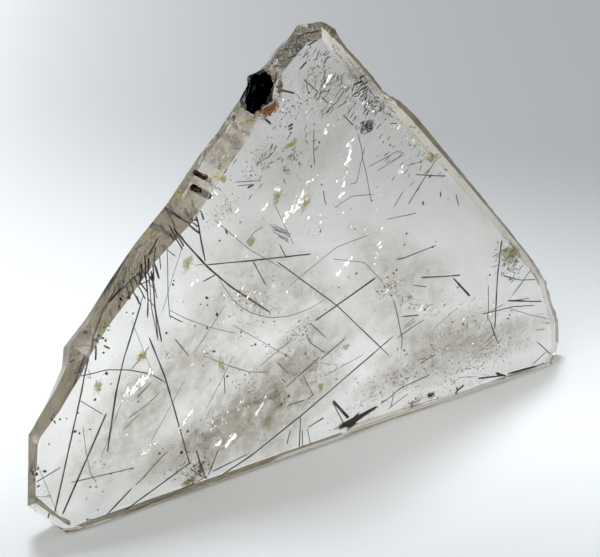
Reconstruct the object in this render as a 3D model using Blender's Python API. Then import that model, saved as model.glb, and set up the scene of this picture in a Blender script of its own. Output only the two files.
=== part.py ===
"""Clear quartz crystal with schorl, a flat three-cornered plate that stands on its long edge.

The plate lies in the XZ plane with its broad front face towards -Y. X runs along the edge it
stands on, Z is up, and the origin is under the middle of the plate, on what it stands on.
Sizes in the tables are millimetres, with x and y measured from a point near the foot of the
crystal's tip, 5 mm behind the front face.
"""
import math

import bmesh
import bpy
from mathutils import Vector
from mathutils.bvhtree import BVHTree

MM = 0.001

# Plate
THICKNESS = 7.0
FRONT_Y = -5.0
MIDDLE_Y = FRONT_Y + THICKNESS / 2
BACK_Y = FRONT_Y + THICKNESS
TOE_Y = -3.8
HEEL_Y = 1.4
PARTING_GAP = 0.3
QUARTZ_INDEX = 1.544

# Inclusions
POCKET_ROOM = 0.3
EYE = Vector((-296.0, -412.6, 285.5))
SIX_SIDED = 1
FOUR_SIDED = 0

# Corners round the plate, clockwise from the left end of the edge that it stands on.
# Each has the front face's corner (x, z), the rim's corner (x, z, y) and the back face's (x, z).
LEFT_END = [
    ((-64.5, 3.0), (-65.6, 1.9, -3.4), (-64.2, 3.3)),
    ((-71.5, 10.5), (-72.2, 9.1, -3.0), (-69.3, 9.6)),
    ((-70.8, 23.5), (-71.2, 24.9, -3.0), (-68.4, 21.2)),
    ((-68.5, 26.0), (-69.4, 26.4, -2.4), (-66.8, 24.2)),
]
LEFT_SLOPE = [
    ((-65.0, 29.3), (-65.6, 30.1, -1.7), (-63.7, 28.5)),
    ((-63.6, 31.2), (-63.5, 32.4, -1.5), (-61.9, 31.4)),
    ((-60.0, 35.5), (-60.8, 36.3, -1.1), (-60.3, 34.4)),
    ((-58.0, 39.0), (-59.8, 40.3, -1.0), (-59.7, 38.7)),
    ((-53.0, 44.8), (-54.4, 45.2, -0.9), (-54.2, 43.7)),
    ((-48.5, 49.0), (-49.4, 50.0, -0.7), (-48.8, 50.0)),
    ((-42.0, 55.5), (-42.6, 56.7, -0.5), (-42.7, 56.5)),
    ((-33.0, 61.8), (-34.8, 62.9, -0.5), (-34.5, 63.6)),
    ((-25.5, 70.5), (-27.8, 71.7, -0.5), (-27.7, 71.1)),
    ((-20.0, 76.0), (-22.4, 77.0, -0.5), (-22.0, 76.4)),
    ((-12.6, 87.4), (-12.9, 88.2, -0.5), (-11.7, 87.4)),
    ((-8.0, 91.2), (-7.8, 91.9, -0.5), (-6.8, 91.2)),
]
TIP = [
    ((-5.4, 93.2), (-4.9, 95.2, -0.5), (-3.7, 93.0)),
    ((-2.0, 93.2), (0.9, 94.9, -0.5), (-0.2, 92.2)),
    ((0.2, 91.0), (4.4, 92.6, -0.5), (1.1, 90.6)),
]
RIGHT_SLOPE = [
    ((3.0, 88.0), (7.1, 88.0, -0.5), (5.2, 86.2)),
    ((8.0, 82.0), (12.7, 81.6, -0.5), (10.8, 80.0)),
    ((13.0, 75.8), (17.4, 75.8, -0.5), (15.2, 74.4)),
    ((14.8, 73.8), (21.2, 72.9, -0.5), (19.0, 71.2)),
    ((18.0, 69.8), (25.7, 68.1, -0.5), (23.6, 66.4)),
    ((30.8, 55.5), (37.4, 53.4, -0.5), (35.4, 51.8)),
    ((47.0, 36.2), (51.5, 35.6, -0.5), (49.4, 34.0)),
    ((53.0, 28.5), (58.7, 26.3, -0.5), (56.6, 24.8)),
]
RIGHT_END = [
    ((57.0, 23.5), (63.2, 19.6, -0.5), (60.8, 18.4)),
    ((59.5, 16.0), (65.1, 13.6, -0.5), (62.6, 12.6)),
    ((61.5, 9.5), (67.3, 9.0, -0.5), (64.6, 8.6)),
    ((61.8, 4.5), (67.6, 2.6, -0.5), (64.9, 3.0)),
]
# Corners along the standing edge, right to left: front face's corner (x, z), the flat's toe x
# and heel x, back face's corner (x, z).
STANDING_EDGE = [
    ((59.5, 1.6), 63.3, 63.0, (62.0, 1.4)),
    ((40.0, 1.8), 40.0, 40.0, (40.0, 1.1)),
    ((20.0, 3.0), 20.0, 20.0, (20.0, 1.2)),
    ((7.0, 3.3), 7.0, 7.0, (7.0, 1.0)),
    ((2.0, 1.1), 2.0, 2.0, (2.0, 1.1)),
    ((-60.0, 0.9), -63.9, -62.0, (-61.5, 1.2)),
]

# Needles: width, depth behind the front face at the first and the last point, and the points
# (x, z) of the front plane where the needle shows to an eye at EYE.
NEEDLES = [
    (0.45, (2.1, 4.6), [(-57.0, 42.4), (-67.2, 7.0)]),
    (0.50, (4.5, 2.2), [(-54.6, 25.2), (-65.4, 6.0)]),
    (0.45, (4.8, 2.4), [(-45.8, 47.0), (-50.0, 36.5), (-52.0, 29.8), (-54.6, 16.8)]),
    (0.40, (1.7, 4.2), [(-55.6, 2.0), (-49.3, 6.2)]),
    (0.35, (1.1, 4.1), [(-51.0, 1.7), (-35.0, 7.6)]),
    (0.45, (2.0, 5.3), [(-37.6, 61.1), (-34.7, 57.0), (-30.0, 50.8), (-24.3, 44.7), (-15.0, 36.4)]),
    (0.40, (3.1, 4.1), [(-32.4, 64.0), (-31.4, 57.0), (-30.5, 52.3)]),
    (0.45, (2.5, 4.8), [(46.0, 35.8), (45.2, 27.0), (45.0, 15.0)]),
    (0.50, (2.8, 4.2), [(32.9, 30.6), (37.6, 25.0)]),
    (0.38, (2.4, 4.9), [(-44.0, 39.0), (-40.5, 29.0), (-37.0, 15.0), (-35.2, 7.5)]),
    (0.28, (1.7, 4.1), [(-12.8, 47.0), (2.0, 33.0), (15.9, 17.0)]),
    (0.50, (5.2, 2.5), [(-3.3, 31.1), (11.9, 36.5)]),
    (0.40, (1.4, 5.2), [(-28.0, 1.9), (-20.0, 4.2), (-6.5, 10.0), (16.7, 21.2)]),
    (0.32, (2.5, 4.3), [(-11.0, 17.7), (-2.3, 22.2)]),
    (0.34, (4.5, 2.8), [(-2.2, 21.5), (4.1, 24.5)]),
    (0.36, (2.5, 4.6), [(24.3, 33.2), (30.0, 31.8), (34.8, 30.8)]),
    (0.36, (4.8, 2.7), [(-30.0, 51.3), (-19.0, 49.2), (-4.7, 46.7)]),
    (0.36, (2.7, 4.3), [(-31.0, 47.9), (-28.2, 48.5)]),
    (0.36, (4.5, 2.9), [(-45.1, 57.6), (-45.0, 52.5)]),
    (0.50, (2.9, 4.1), [(-43.7, 56.5), (-43.8, 53.8)]),
    (0.36, (2.1, 4.5), [(-44.4, 53.6), (-44.1, 47.5), (-44.3, 43.8)]),
    (0.40, (4.8, 2.4), [(-43.2, 53.6), (-42.7, 49.0), (-42.5, 45.0), (-41.2, 37.5)]),
    (0.30, (5.2, 3.3), [(-48.3, 53.3), (-46.2, 47.3)]),
    (0.30, (2.5, 3.8), [(-47.4, 54.0), (-46.2, 51.0)]),
    (0.34, (3.2, 3.9), [(-43.4, 60.8), (-45.0, 58.4)]),
    (0.36, (3.1, 4.2), [(-39.8, 63.2), (-36.8, 57.0)]),
    (0.40, (3.2, 4.1), [(-36.8, 66.6), (-35.8, 64.6)]),
    (0.34, (3.1, 4.1), [(-33.6, 67.2), (-33.0, 64.6)]),
    (0.40, (4.6, 3.1), [(-33.5, 10.0), (-31.6, 3.6)]),
    (0.34, (4.3, 2.9), [(-28.0, 8.5), (-30.6, 3.2)]),
    (0.32, (2.7, 4.8), [(-29.6, 3.7), (-21.0, 4.9)]),
    (0.36, (4.3, 2.4), [(-7.2, 9.4), (-7.6, 2.4)]),
    (0.30, (4.3, 2.9), [(-9.9, 6.9), (-10.8, 4.0)]),
    (0.36, (4.3, 2.8), [(-5.2, 6.3), (-1.3, 7.3)]),
    (0.30, (2.9, 4.1), [(-10.5, 13.2), (-6.3, 13.2)]),
    (0.30, (2.7, 4.3), [(20.4, 51.4), (27.2, 59.5)]),
    (0.32, (3.1, 4.1), [(17.8, 39.3), (19.4, 39.1)]),
    (0.32, (2.8, 4.3), [(19.4, 25.3), (23.7, 24.4)]),
    (0.30, (4.1, 2.9), [(24.5, 12.6), (28.3, 13.4)]),
    (0.40, (2.5, 4.6), [(48.5, 20.7), (58.0, 17.8)]),
    (0.30, (2.5, 4.5), [(41.4, 19.5), (50.0, 18.8), (56.0, 17.4)]),
    (0.30, (4.1, 2.9), [(43.2, 18.0), (46.1, 10.8)]),
    (0.42, (4.2, 2.0), [(40.8, 3.8), (48.3, 2.3)]),
    (0.45, (3.9, 3.1), [(-20.2, 65.5), (-18.7, 65.8)]),
    (0.45, (3.1, 3.9), [(-25.5, 57.8), (-25.2, 56.8)]),
    (0.36, (3.9, 3.1), [(28.8, 52.0), (28.9, 50.8)]),
]

# Stout prisms in the left slope: width, and the ends (x, z, y) of the axis.
TWIN_PRISMS = [
    ("schorl_prism_upper", 1.3, (-30.4, 70.2, -1.2), (-29.2, 69.6, -4.0)),
    ("schorl_prism_lower", 1.7, (-31.0, 67.2, -1.0), (-28.7, 65.6, -4.1)),
]

# Bar and strut near the standing edge, as seen in the front face.
BAR_ENDS = ((2.8, 3.3), (12.3, 5.4))
BAR_DEPTHS = (3.9, 3.2)
BAR_WIDTHS = (1.5, 0.5)
STRUT_ENDS = ((1.2, 10.6), (5.2, 5.3))
STRUT_DEPTHS = (4.3, 2.9)
STRUT_WIDTH = 0.7

# Lumps: name, place seen in the front face, depth, and half sizes along x, y and z.
LUMPS = [
    ("schorl_lump_base", (27.6, 3.8), 3.6, (1.0, 0.9, 0.6)),
    ("schorl_lump_tip", (9.3, 71.5), 3.5, (1.7, 1.0, 1.1)),
]

# Big schorl that breaks the left slope: outline (x, z) of its front and back ends.
BIG_FRONT_Y = -4.6
BIG_BACK_Y = 0.6
BIG_FRONT = [
    (-13.2, 85.4), (-14.0, 87.6), (-15.6, 88.7), (-17.8, 88.2), (-19.2, 86.2),
    (-20.0, 83.6), (-19.3, 81.5), (-17.7, 80.6), (-15.8, 81.7), (-14.0, 82.6),
]
BIG_BACK = [
    (-12.4, 85.4), (-12.4, 87.2), (-14.1, 87.3), (-16.4, 86.6), (-16.4, 84.6),
    (-18.4, 82.4), (-18.3, 81.2), (-17.1, 80.9), (-15.1, 81.8), (-13.1, 83.4),
]
BIG_DOME = 0.5


def material(name, colour, roughness, clear=0.0):
    """A Principled finish; clear is how much light passes through."""
    finish = bpy.data.materials.new(name)
    finish.use_nodes = True
    shader = finish.node_tree.nodes["Principled BSDF"]
    shader.inputs["Base Color"].default_value = (*colour, 1.0)
    shader.inputs["Roughness"].default_value = roughness
    shader.inputs["Transmission Weight"].default_value = clear
    shader.inputs["IOR"].default_value = QUARTZ_INDEX
    return finish


def sink(point, depth):
    """Place at a depth behind the front plane of what shows in that plane at (x, z) from EYE.

    The line of sight goes straight to the plate's surface, and bends there by the law of
    refraction: its slant along the surface shrinks by the index.
    """
    sight = (Vector((point[0], FRONT_Y, point[1])) - EYE).normalized()
    entry, normal, _, _ = SURFACE.ray_cast(EYE * MM, sight)
    across = (sight - normal * sight.dot(normal)) / QUARTZ_INDEX
    inside = across - normal * math.sqrt(1.0 - across.length_squared)
    entry = entry / MM
    return entry + inside * ((FRONT_Y + depth - entry.y) / inside.y)


def sink_path(points, depths):
    """Points sunk to depths that change evenly along the path."""
    flat = [Vector(point) for point in points]
    lengths = [0.0]
    for start, end in zip(flat, flat[1:]):
        lengths.append(lengths[-1] + (end - start).length)
    first, last = depths
    return [sink(p, first + (last - first) * s / lengths[-1]) for p, s in zip(points, lengths)]


def stretch(path, extra):
    """The path with both ends carried on by an extra length."""
    head = path[0] + (path[0] - path[1]).normalized() * extra
    tail = path[-1] + (path[-1] - path[-2]).normalized() * extra
    return [head, *path[1:-1], tail]


def rod(name, path, width, resolution):
    """A closed prism of few sides that follows the path, as a mesh."""
    curve = bpy.data.curves.new(name, "CURVE")
    curve.dimensions = "3D"
    curve.bevel_depth = width / 2 * MM
    curve.bevel_resolution = resolution
    curve.use_fill_caps = True
    spline = curve.splines.new("POLY")
    spline.points.add(len(path) - 1)
    for point, place in zip(spline.points, path):
        point.co = (*(place * MM), 1.0)
    holder = bpy.data.objects.new(name + "_curve", curve)
    bpy.context.scene.collection.objects.link(holder)
    bpy.context.view_layer.update()
    evaluated = holder.evaluated_get(bpy.context.evaluated_depsgraph_get())
    mesh = bpy.data.meshes.new_from_object(evaluated)
    bpy.data.objects.remove(holder)
    bpy.data.curves.remove(curve)
    shape = bmesh.new()
    shape.from_mesh(mesh)
    bmesh.ops.remove_doubles(shape, verts=shape.verts, dist=0.01 * MM)
    bmesh.ops.recalc_face_normals(shape, faces=shape.faces)
    return finish_mesh(name, shape)


def finish_mesh(name, shape):
    """Puts a bmesh into a new object, moved in x and y so that the plate's middle is at 0."""
    bmesh.ops.translate(shape, verts=shape.verts, vec=(MIDDLE_SHIFT * MM, -MIDDLE_Y * MM, 0.0))
    mesh = bpy.data.meshes.new(name)
    shape.to_mesh(mesh)
    shape.free()
    return bpy.data.objects.new(name, mesh)


def ring_faces(shape, lower, upper):
    """Faces between two rings of corners; where a ring repeats a corner the face is a triangle."""
    count = len(lower)
    for i in range(count):
        j = (i + 1) % count
        corners = []
        for vertex in (lower[i], lower[j], upper[j], upper[i]):
            if vertex not in corners:
                corners.append(vertex)
        if len(corners) > 2:
            shape.faces.new(corners)


def corner(shape, x, y, z):
    return shape.verts.new((x * MM, y * MM, z * MM))


def plate_shape():
    """The whole plate: front face, bevels to the rim, the standing flat and the back face."""
    shape = bmesh.new()
    front, toe, heel, back = [], [], [], []
    for face, rim, rear in LEFT_END + LEFT_SLOPE + TIP + RIGHT_SLOPE + RIGHT_END:
        edge = corner(shape, rim[0], rim[2], rim[1])
        front.append(corner(shape, face[0], FRONT_Y, face[1]))
        toe.append(edge)
        heel.append(edge)
        back.append(corner(shape, rear[0], BACK_Y, rear[1]))
    for face, toe_x, heel_x, rear in STANDING_EDGE:
        front.append(corner(shape, face[0], FRONT_Y, face[1]))
        toe.append(corner(shape, toe_x, TOE_Y, 0.0))
        heel.append(corner(shape, heel_x, HEEL_Y, 0.0))
        back.append(corner(shape, rear[0], BACK_Y, rear[1]))
    shape.faces.new(front)
    ring_faces(shape, front, toe)
    ring_faces(shape, toe, heel)
    ring_faces(shape, heel, back)
    shape.faces.new(back)
    bmesh.ops.recalc_face_normals(shape, faces=shape.faces)
    bmesh.ops.triangulate(shape, faces=shape.faces)
    return shape


def plate_half(name, side, finish):
    """One half of the plate, parted along the middle plane; side is -1 for front, 1 for back."""
    shape = plate_shape()
    cut = bmesh.ops.bisect_plane(
        shape,
        geom=shape.verts[:] + shape.edges[:] + shape.faces[:],
        plane_co=(0.0, (MIDDLE_Y + side * PARTING_GAP / 2) * MM, 0.0),
        plane_no=(0.0, side, 0.0),
        clear_inner=True,
    )
    rim = [item for item in cut["geom_cut"] if isinstance(item, bmesh.types.BMEdge)]
    bmesh.ops.edgeloop_fill(shape, edges=rim)
    bmesh.ops.recalc_face_normals(shape, faces=shape.faces)
    bmesh.ops.triangulate(shape, faces=shape.faces)
    half = finish_mesh(name, shape)
    half.data.materials.append(finish)
    return half


def big_schorl_shape(grow):
    """Loft from the front to the back outline with low domed ends, grown outwards by grow."""
    shape = bmesh.new()
    rings = []
    for outline, y, out in (
        (BIG_FRONT, BIG_FRONT_Y + BIG_DOME - grow, grow),
        (BIG_BACK, BIG_BACK_Y - BIG_DOME + grow, grow),
    ):
        centre = sum((Vector(p) for p in outline), Vector((0.0, 0.0))) / len(outline)
        ring = []
        for point in outline:
            arm = Vector(point) - centre
            place = centre + arm * (1.0 + out / arm.length)
            ring.append(corner(shape, place.x, y, place.y))
        dome_y = y + math.copysign(BIG_DOME, y - (BIG_FRONT_Y + BIG_BACK_Y) / 2)
        pole = corner(shape, centre.x, dome_y, centre.y)
        ring_faces(shape, ring, [pole] * len(ring))
        rings.append(ring)
    ring_faces(shape, *rings)
    bmesh.ops.recalc_face_normals(shape, faces=shape.faces)
    bmesh.ops.triangulate(shape, faces=shape.faces)
    return shape


def tapered_bar(name, start, end, widths):
    """An eight-sided bar between two places that narrows from one width to the other."""
    shape = bmesh.new()
    axis = end - start
    bmesh.ops.create_cone(
        shape,
        cap_ends=True,
        segments=8,
        radius1=widths[0] / 2 * MM,
        radius2=widths[1] / 2 * MM,
        depth=axis.length * MM,
    )
    bmesh.ops.rotate(shape, verts=shape.verts, matrix=axis.to_track_quat("Z", "Y").to_matrix())
    bmesh.ops.translate(shape, verts=shape.verts, vec=(start + end) / 2 * MM)
    return finish_mesh(name, shape)


def lump(name, place, half_sizes):
    """A faceted lump, an icosahedron stretched to its half sizes."""
    shape = bmesh.new()
    bmesh.ops.create_icosphere(shape, subdivisions=1, radius=MM)
    bmesh.ops.scale(shape, verts=shape.verts, vec=half_sizes)
    bmesh.ops.translate(shape, verts=shape.verts, vec=place * MM)
    return finish_mesh(name, shape)


def grown(half_sizes):
    return tuple(size + POCKET_ROOM for size in half_sizes)


def pocket_width(width):
    """Corner to corner width of a four-sided pocket that leaves room all round."""
    return (width + 2 * POCKET_ROOM) * math.sqrt(2)


def add_part(parts, piece, finish):
    piece.data.materials.append(finish)
    parts.objects.link(piece)


def add_pocket(cutters, cutter, halves):
    """Cuts the pocket out of each half."""
    cutter.hide_render = True
    cutter.display_type = "WIRE"
    cutters.objects.link(cutter)
    for half in halves:
        cut = half.modifiers.new(cutter.name, "BOOLEAN")
        cut.operation = "DIFFERENCE"
        cut.object = cutter


def add_needles(parts, cutters, halves, finish):
    for number, (width, depths, points) in enumerate(NEEDLES, 1):
        path = sink_path(points, depths)
        name = f"schorl_needle_{number:02d}"
        add_part(parts, rod(name, path, width, SIX_SIDED), finish)
        pocket = rod(name + "_pocket", stretch(path, POCKET_ROOM), pocket_width(width), FOUR_SIDED)
        add_pocket(cutters, pocket, halves)


def add_twin_prisms(parts, cutters, halves, finish):
    for name, width, start, end in TWIN_PRISMS:
        path = [Vector((x, y, z)) for x, z, y in (start, end)]
        add_part(parts, rod(name, path, width, SIX_SIDED), finish)
        pocket = rod(name + "_pocket", stretch(path, POCKET_ROOM), width + 2 * POCKET_ROOM, SIX_SIDED)
        add_pocket(cutters, pocket, halves)


def add_bar_and_strut(parts, cutters, halves, finish):
    start, end = sink_path(BAR_ENDS, BAR_DEPTHS)
    add_part(parts, tapered_bar("schorl_bar", start, end, BAR_WIDTHS), finish)
    wide = [width + 2 * POCKET_ROOM for width in BAR_WIDTHS]
    add_pocket(cutters, tapered_bar("schorl_bar_pocket", *stretch([start, end], POCKET_ROOM), wide), halves)
    path = sink_path(STRUT_ENDS, STRUT_DEPTHS)
    add_part(parts, rod("schorl_strut", path, STRUT_WIDTH, SIX_SIDED), finish)
    pocket = rod("schorl_strut_pocket", stretch(path, POCKET_ROOM), pocket_width(STRUT_WIDTH), FOUR_SIDED)
    add_pocket(cutters, pocket, halves)


def add_lumps(parts, cutters, halves, finish):
    for name, point, depth, half_sizes in LUMPS:
        place = sink(point, depth)
        add_part(parts, lump(name, place, half_sizes), finish)
        add_pocket(cutters, lump(name + "_pocket", place, grown(half_sizes)), halves)


def add_big_schorl(parts, cutters, halves, finish):
    add_part(parts, finish_mesh("schorl_big", big_schorl_shape(0.0)), finish)
    add_pocket(cutters, finish_mesh("schorl_big_notch", big_schorl_shape(POCKET_ROOM)), halves)


def middle_shift():
    """How far the tables' x has to move for the plate's middle to be at 0."""
    xs = [rim[0] for _, rim, _ in LEFT_END + LEFT_SLOPE + TIP + RIGHT_SLOPE + RIGHT_END]
    return -(min(xs) + max(xs)) / 2


MIDDLE_SHIFT = middle_shift()
SURFACE = BVHTree.FromBMesh(plate_shape())


def main():
    for old in list(bpy.data.objects):
        bpy.data.objects.remove(old)
    parts = bpy.data.collections.new("Quartz with schorl")
    cutters = bpy.data.collections.new("Pockets")
    bpy.context.scene.collection.children.link(parts)
    bpy.context.scene.collection.children.link(cutters)
    quartz = material("Clear quartz", (0.86, 0.87, 0.86), 0.05, clear=1.0)
    schorl = material("Black schorl", (0.012, 0.011, 0.011), 0.22)
    brown = material("Brown schorl", (0.045, 0.028, 0.024), 0.25)
    halves = [
        plate_half("quartz_front_half", -1, quartz),
        plate_half("quartz_back_half", 1, quartz),
    ]
    for half in halves:
        parts.objects.link(half)
    add_big_schorl(parts, cutters, halves, schorl)
    add_twin_prisms(parts, cutters, halves, brown)
    add_bar_and_strut(parts, cutters, halves, schorl)
    add_lumps(parts, cutters, halves, schorl)
    add_needles(parts, cutters, halves, schorl)


main()
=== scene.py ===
"""Quartz with schorl: the clear plate, its needles, grains and veils, on a pale studio floor.

Tables are in millimetres, with x measured from the foot of the crystal's tip as in the solids.
What is inside the plate is placed by where it shows in the front face to an eye at EYE.
"""

import math

import bpy
import numpy as np
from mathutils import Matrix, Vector


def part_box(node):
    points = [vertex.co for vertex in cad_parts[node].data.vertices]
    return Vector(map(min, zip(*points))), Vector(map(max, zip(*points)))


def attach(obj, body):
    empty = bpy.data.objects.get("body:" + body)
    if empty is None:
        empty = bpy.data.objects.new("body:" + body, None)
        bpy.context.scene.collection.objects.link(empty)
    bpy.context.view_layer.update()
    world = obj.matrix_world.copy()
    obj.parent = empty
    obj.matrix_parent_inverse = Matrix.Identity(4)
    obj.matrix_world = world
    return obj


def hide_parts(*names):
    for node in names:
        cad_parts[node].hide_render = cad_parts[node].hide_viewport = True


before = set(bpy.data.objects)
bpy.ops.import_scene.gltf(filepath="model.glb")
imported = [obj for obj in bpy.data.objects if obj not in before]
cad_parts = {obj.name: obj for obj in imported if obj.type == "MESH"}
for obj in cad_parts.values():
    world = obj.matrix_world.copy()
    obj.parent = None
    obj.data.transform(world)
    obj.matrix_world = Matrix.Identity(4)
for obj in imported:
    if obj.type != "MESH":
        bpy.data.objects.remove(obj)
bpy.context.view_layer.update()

bl_info = {
    "name": "Quartz with schorl",
    "version": (1, 0, 0),
    "blender": (4, 5, 0),
    "location": "View3D > Sidebar > Quartz",
    "description": "Builds a clear quartz plate with black schorl needles in it",
    "category": "Add Mesh",
}

MM = 0.001
# from the tables' zero to the plate's middle
SHIFT = np.array([2.3, 1.5, 0.0])
# where the eye and the camera stand, what they look at, and the camera's lens and sensor
EYE = np.array([-296.0, -412.6, 285.5])
AIM = np.array([-5.173, -1.85, 40.0])
FOCAL_LENGTH = 162.63
SENSOR_WIDTH = 36.0
QUARTZ_INDEX = 1.544
SCHORL_INDEX = 1.635
# the floor lies this far under the crystal
FLOOR_GAP = 0.1

# The plate: where its faces and its standing flat lie in y, how thick its rim is, how round its
# edges are worn, and the point (x, z) in the broad faces that its columns run to.
FRONT_Y = -5.0
BACK_Y = 2.0
TOE_Y = -3.8
HEEL_Y = 1.4
RIDGE = 0.12
EDGE_WEAR = 0.14
HUB = (-3.0, 34.0)
# What is inside lies at least this far behind where the line of sight comes in.
LEAST_DEPTH = 0.4
# How far inside the wall the points of a fine needle have to lie, and then how far a drifting
# grain's middle and a sheet's corners.
NEEDLE_ROOM = 0.12
GRAIN_ROOM = 0.15

# Corners round the plate, clockwise from the left end of the edge that it stands on:
# the front face's corner (x, z), the rim's corner (x, z, y) and the back face's (x, z).
SLOPES = [
    ((-64.5, 3), (-65.6, 1.9, -3.4), (-64.2, 3.3)), ((-71.5, 10.5), (-72.2, 9.1, -3), (-69.3, 9.6)),
    ((-70.8, 23.5), (-71.2, 24.9, -3), (-68.4, 21.2)), ((-68.5, 26), (-69.4, 26.4, -2.4), (-66.8, 24.2)),
    ((-65, 29.3), (-65.6, 30.1, -1.7), (-63.7, 28.5)), ((-63.6, 31.2), (-63.5, 32.4, -1.5), (-61.9, 31.4)),
    ((-60, 35.5), (-60.8, 36.3, -1.1), (-60.3, 34.4)), ((-58, 39), (-59.8, 40.3, -1), (-59.7, 38.7)),
    ((-53, 44.8), (-54.4, 45.2, -0.9), (-54.2, 43.7)), ((-48.5, 49), (-49.4, 50, -0.7), (-48.8, 50)),
    ((-42, 55.5), (-42.6, 56.7, -0.5), (-42.7, 56.5)), ((-33, 61.8), (-34.8, 62.9, -0.5), (-34.5, 63.6)),
    ((-25.5, 70.5), (-27.8, 71.7, -0.5), (-27.7, 71.1)), ((-20, 76), (-22.4, 77, -0.5), (-22, 76.4)),
    ((-12.6, 87.4), (-12.9, 88.2, -0.5), (-11.7, 87.4)), ((-8, 91.2), (-7.8, 91.9, -0.5), (-6.8, 91.2)),
    ((-5.4, 93.2), (-4.9, 95.2, -0.5), (-3.7, 93)), ((-2, 93.2), (0.9, 94.9, -0.5), (-0.2, 92.2)),
    ((0.2, 91), (4.4, 92.6, -0.5), (1.1, 90.6)), ((3, 88), (7.1, 88, -0.5), (5.2, 86.2)),
    ((8, 82), (12.7, 81.6, -0.5), (10.8, 80)), ((13, 75.8), (17.4, 75.8, -0.5), (15.2, 74.4)),
    ((14.8, 73.8), (21.2, 72.9, -0.5), (19, 71.2)), ((18, 69.8), (25.7, 68.1, -0.5), (23.6, 66.4)),
    ((30.8, 55.5), (37.4, 53.4, -0.5), (35.4, 51.8)), ((47, 36.2), (51.5, 35.6, -0.5), (49.4, 34)),
    ((53, 28.5), (58.7, 26.3, -0.5), (56.6, 24.8)), ((57, 23.5), (63.2, 19.6, -0.5), (60.8, 18.4)),
    ((59.5, 16), (65.1, 13.6, -0.5), (62.6, 12.6)), ((61.5, 9.5), (67.3, 9, -0.5), (64.6, 8.6)),
    ((61.8, 4.5), (67.6, 2.6, -0.5), (64.9, 3)),
]
# Along the standing edge: front face's corner, the flat's toe x and heel x, back face's corner.
STANDING_EDGE = [
    ((59.5, 1.6), 63.3, 63, (62, 1.4)), ((40, 1.8), 40, 40, (40, 1.1)), ((20, 3), 20, 20, (20, 1.2)),
    ((7, 3.3), 7, 7, (7, 1)), ((2, 1.1), 2, 2, (2, 1.1)), ((-60, 0.9), -63.9, -62, (-61.5, 1.2)),
]

# Broken places on the rim: centre (x, z), reach and depth of the damage.
BROKEN = [
    ((-24, 77.5), 2.6, 0.22), ((2, 93), 6, 0.12), ((18, 75.5), 4, 0.2), ((66.5, 9), 6, 0.1),
    ((63.5, 19), 4, 0.08),
]

# Big schorl: outline (x, z) of its front and back ends, as in the solids.
BIG_FRONT_Y = -4.6
BIG_BACK_Y = 0.6
BIG_FRONT = [
    (-13.2, 85.4), (-14, 87.6), (-15.6, 88.7), (-17.8, 88.2), (-19.2, 86.2), (-20, 83.6), (-19.3, 81.5),
    (-17.7, 80.6), (-15.8, 81.7), (-14, 82.6),
]
BIG_BACK = [
    (-12.4, 85.4), (-12.4, 87.2), (-14.1, 87.3), (-16.4, 86.6), (-16.4, 84.6), (-18.4, 82.4), (-18.3, 81.2),
    (-17.1, 80.9), (-15.1, 81.8), (-13.1, 83.4),
]
TWIN_PRISMS = [
    ("schorl_prism_upper", 1.3, (-30.4, 70.2, -1.2), (-29.2, 69.6, -4.0)),
    ("schorl_prism_lower", 1.7, (-31.0, 67.2, -1.0), (-28.7, 65.6, -4.1)),
]

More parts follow.
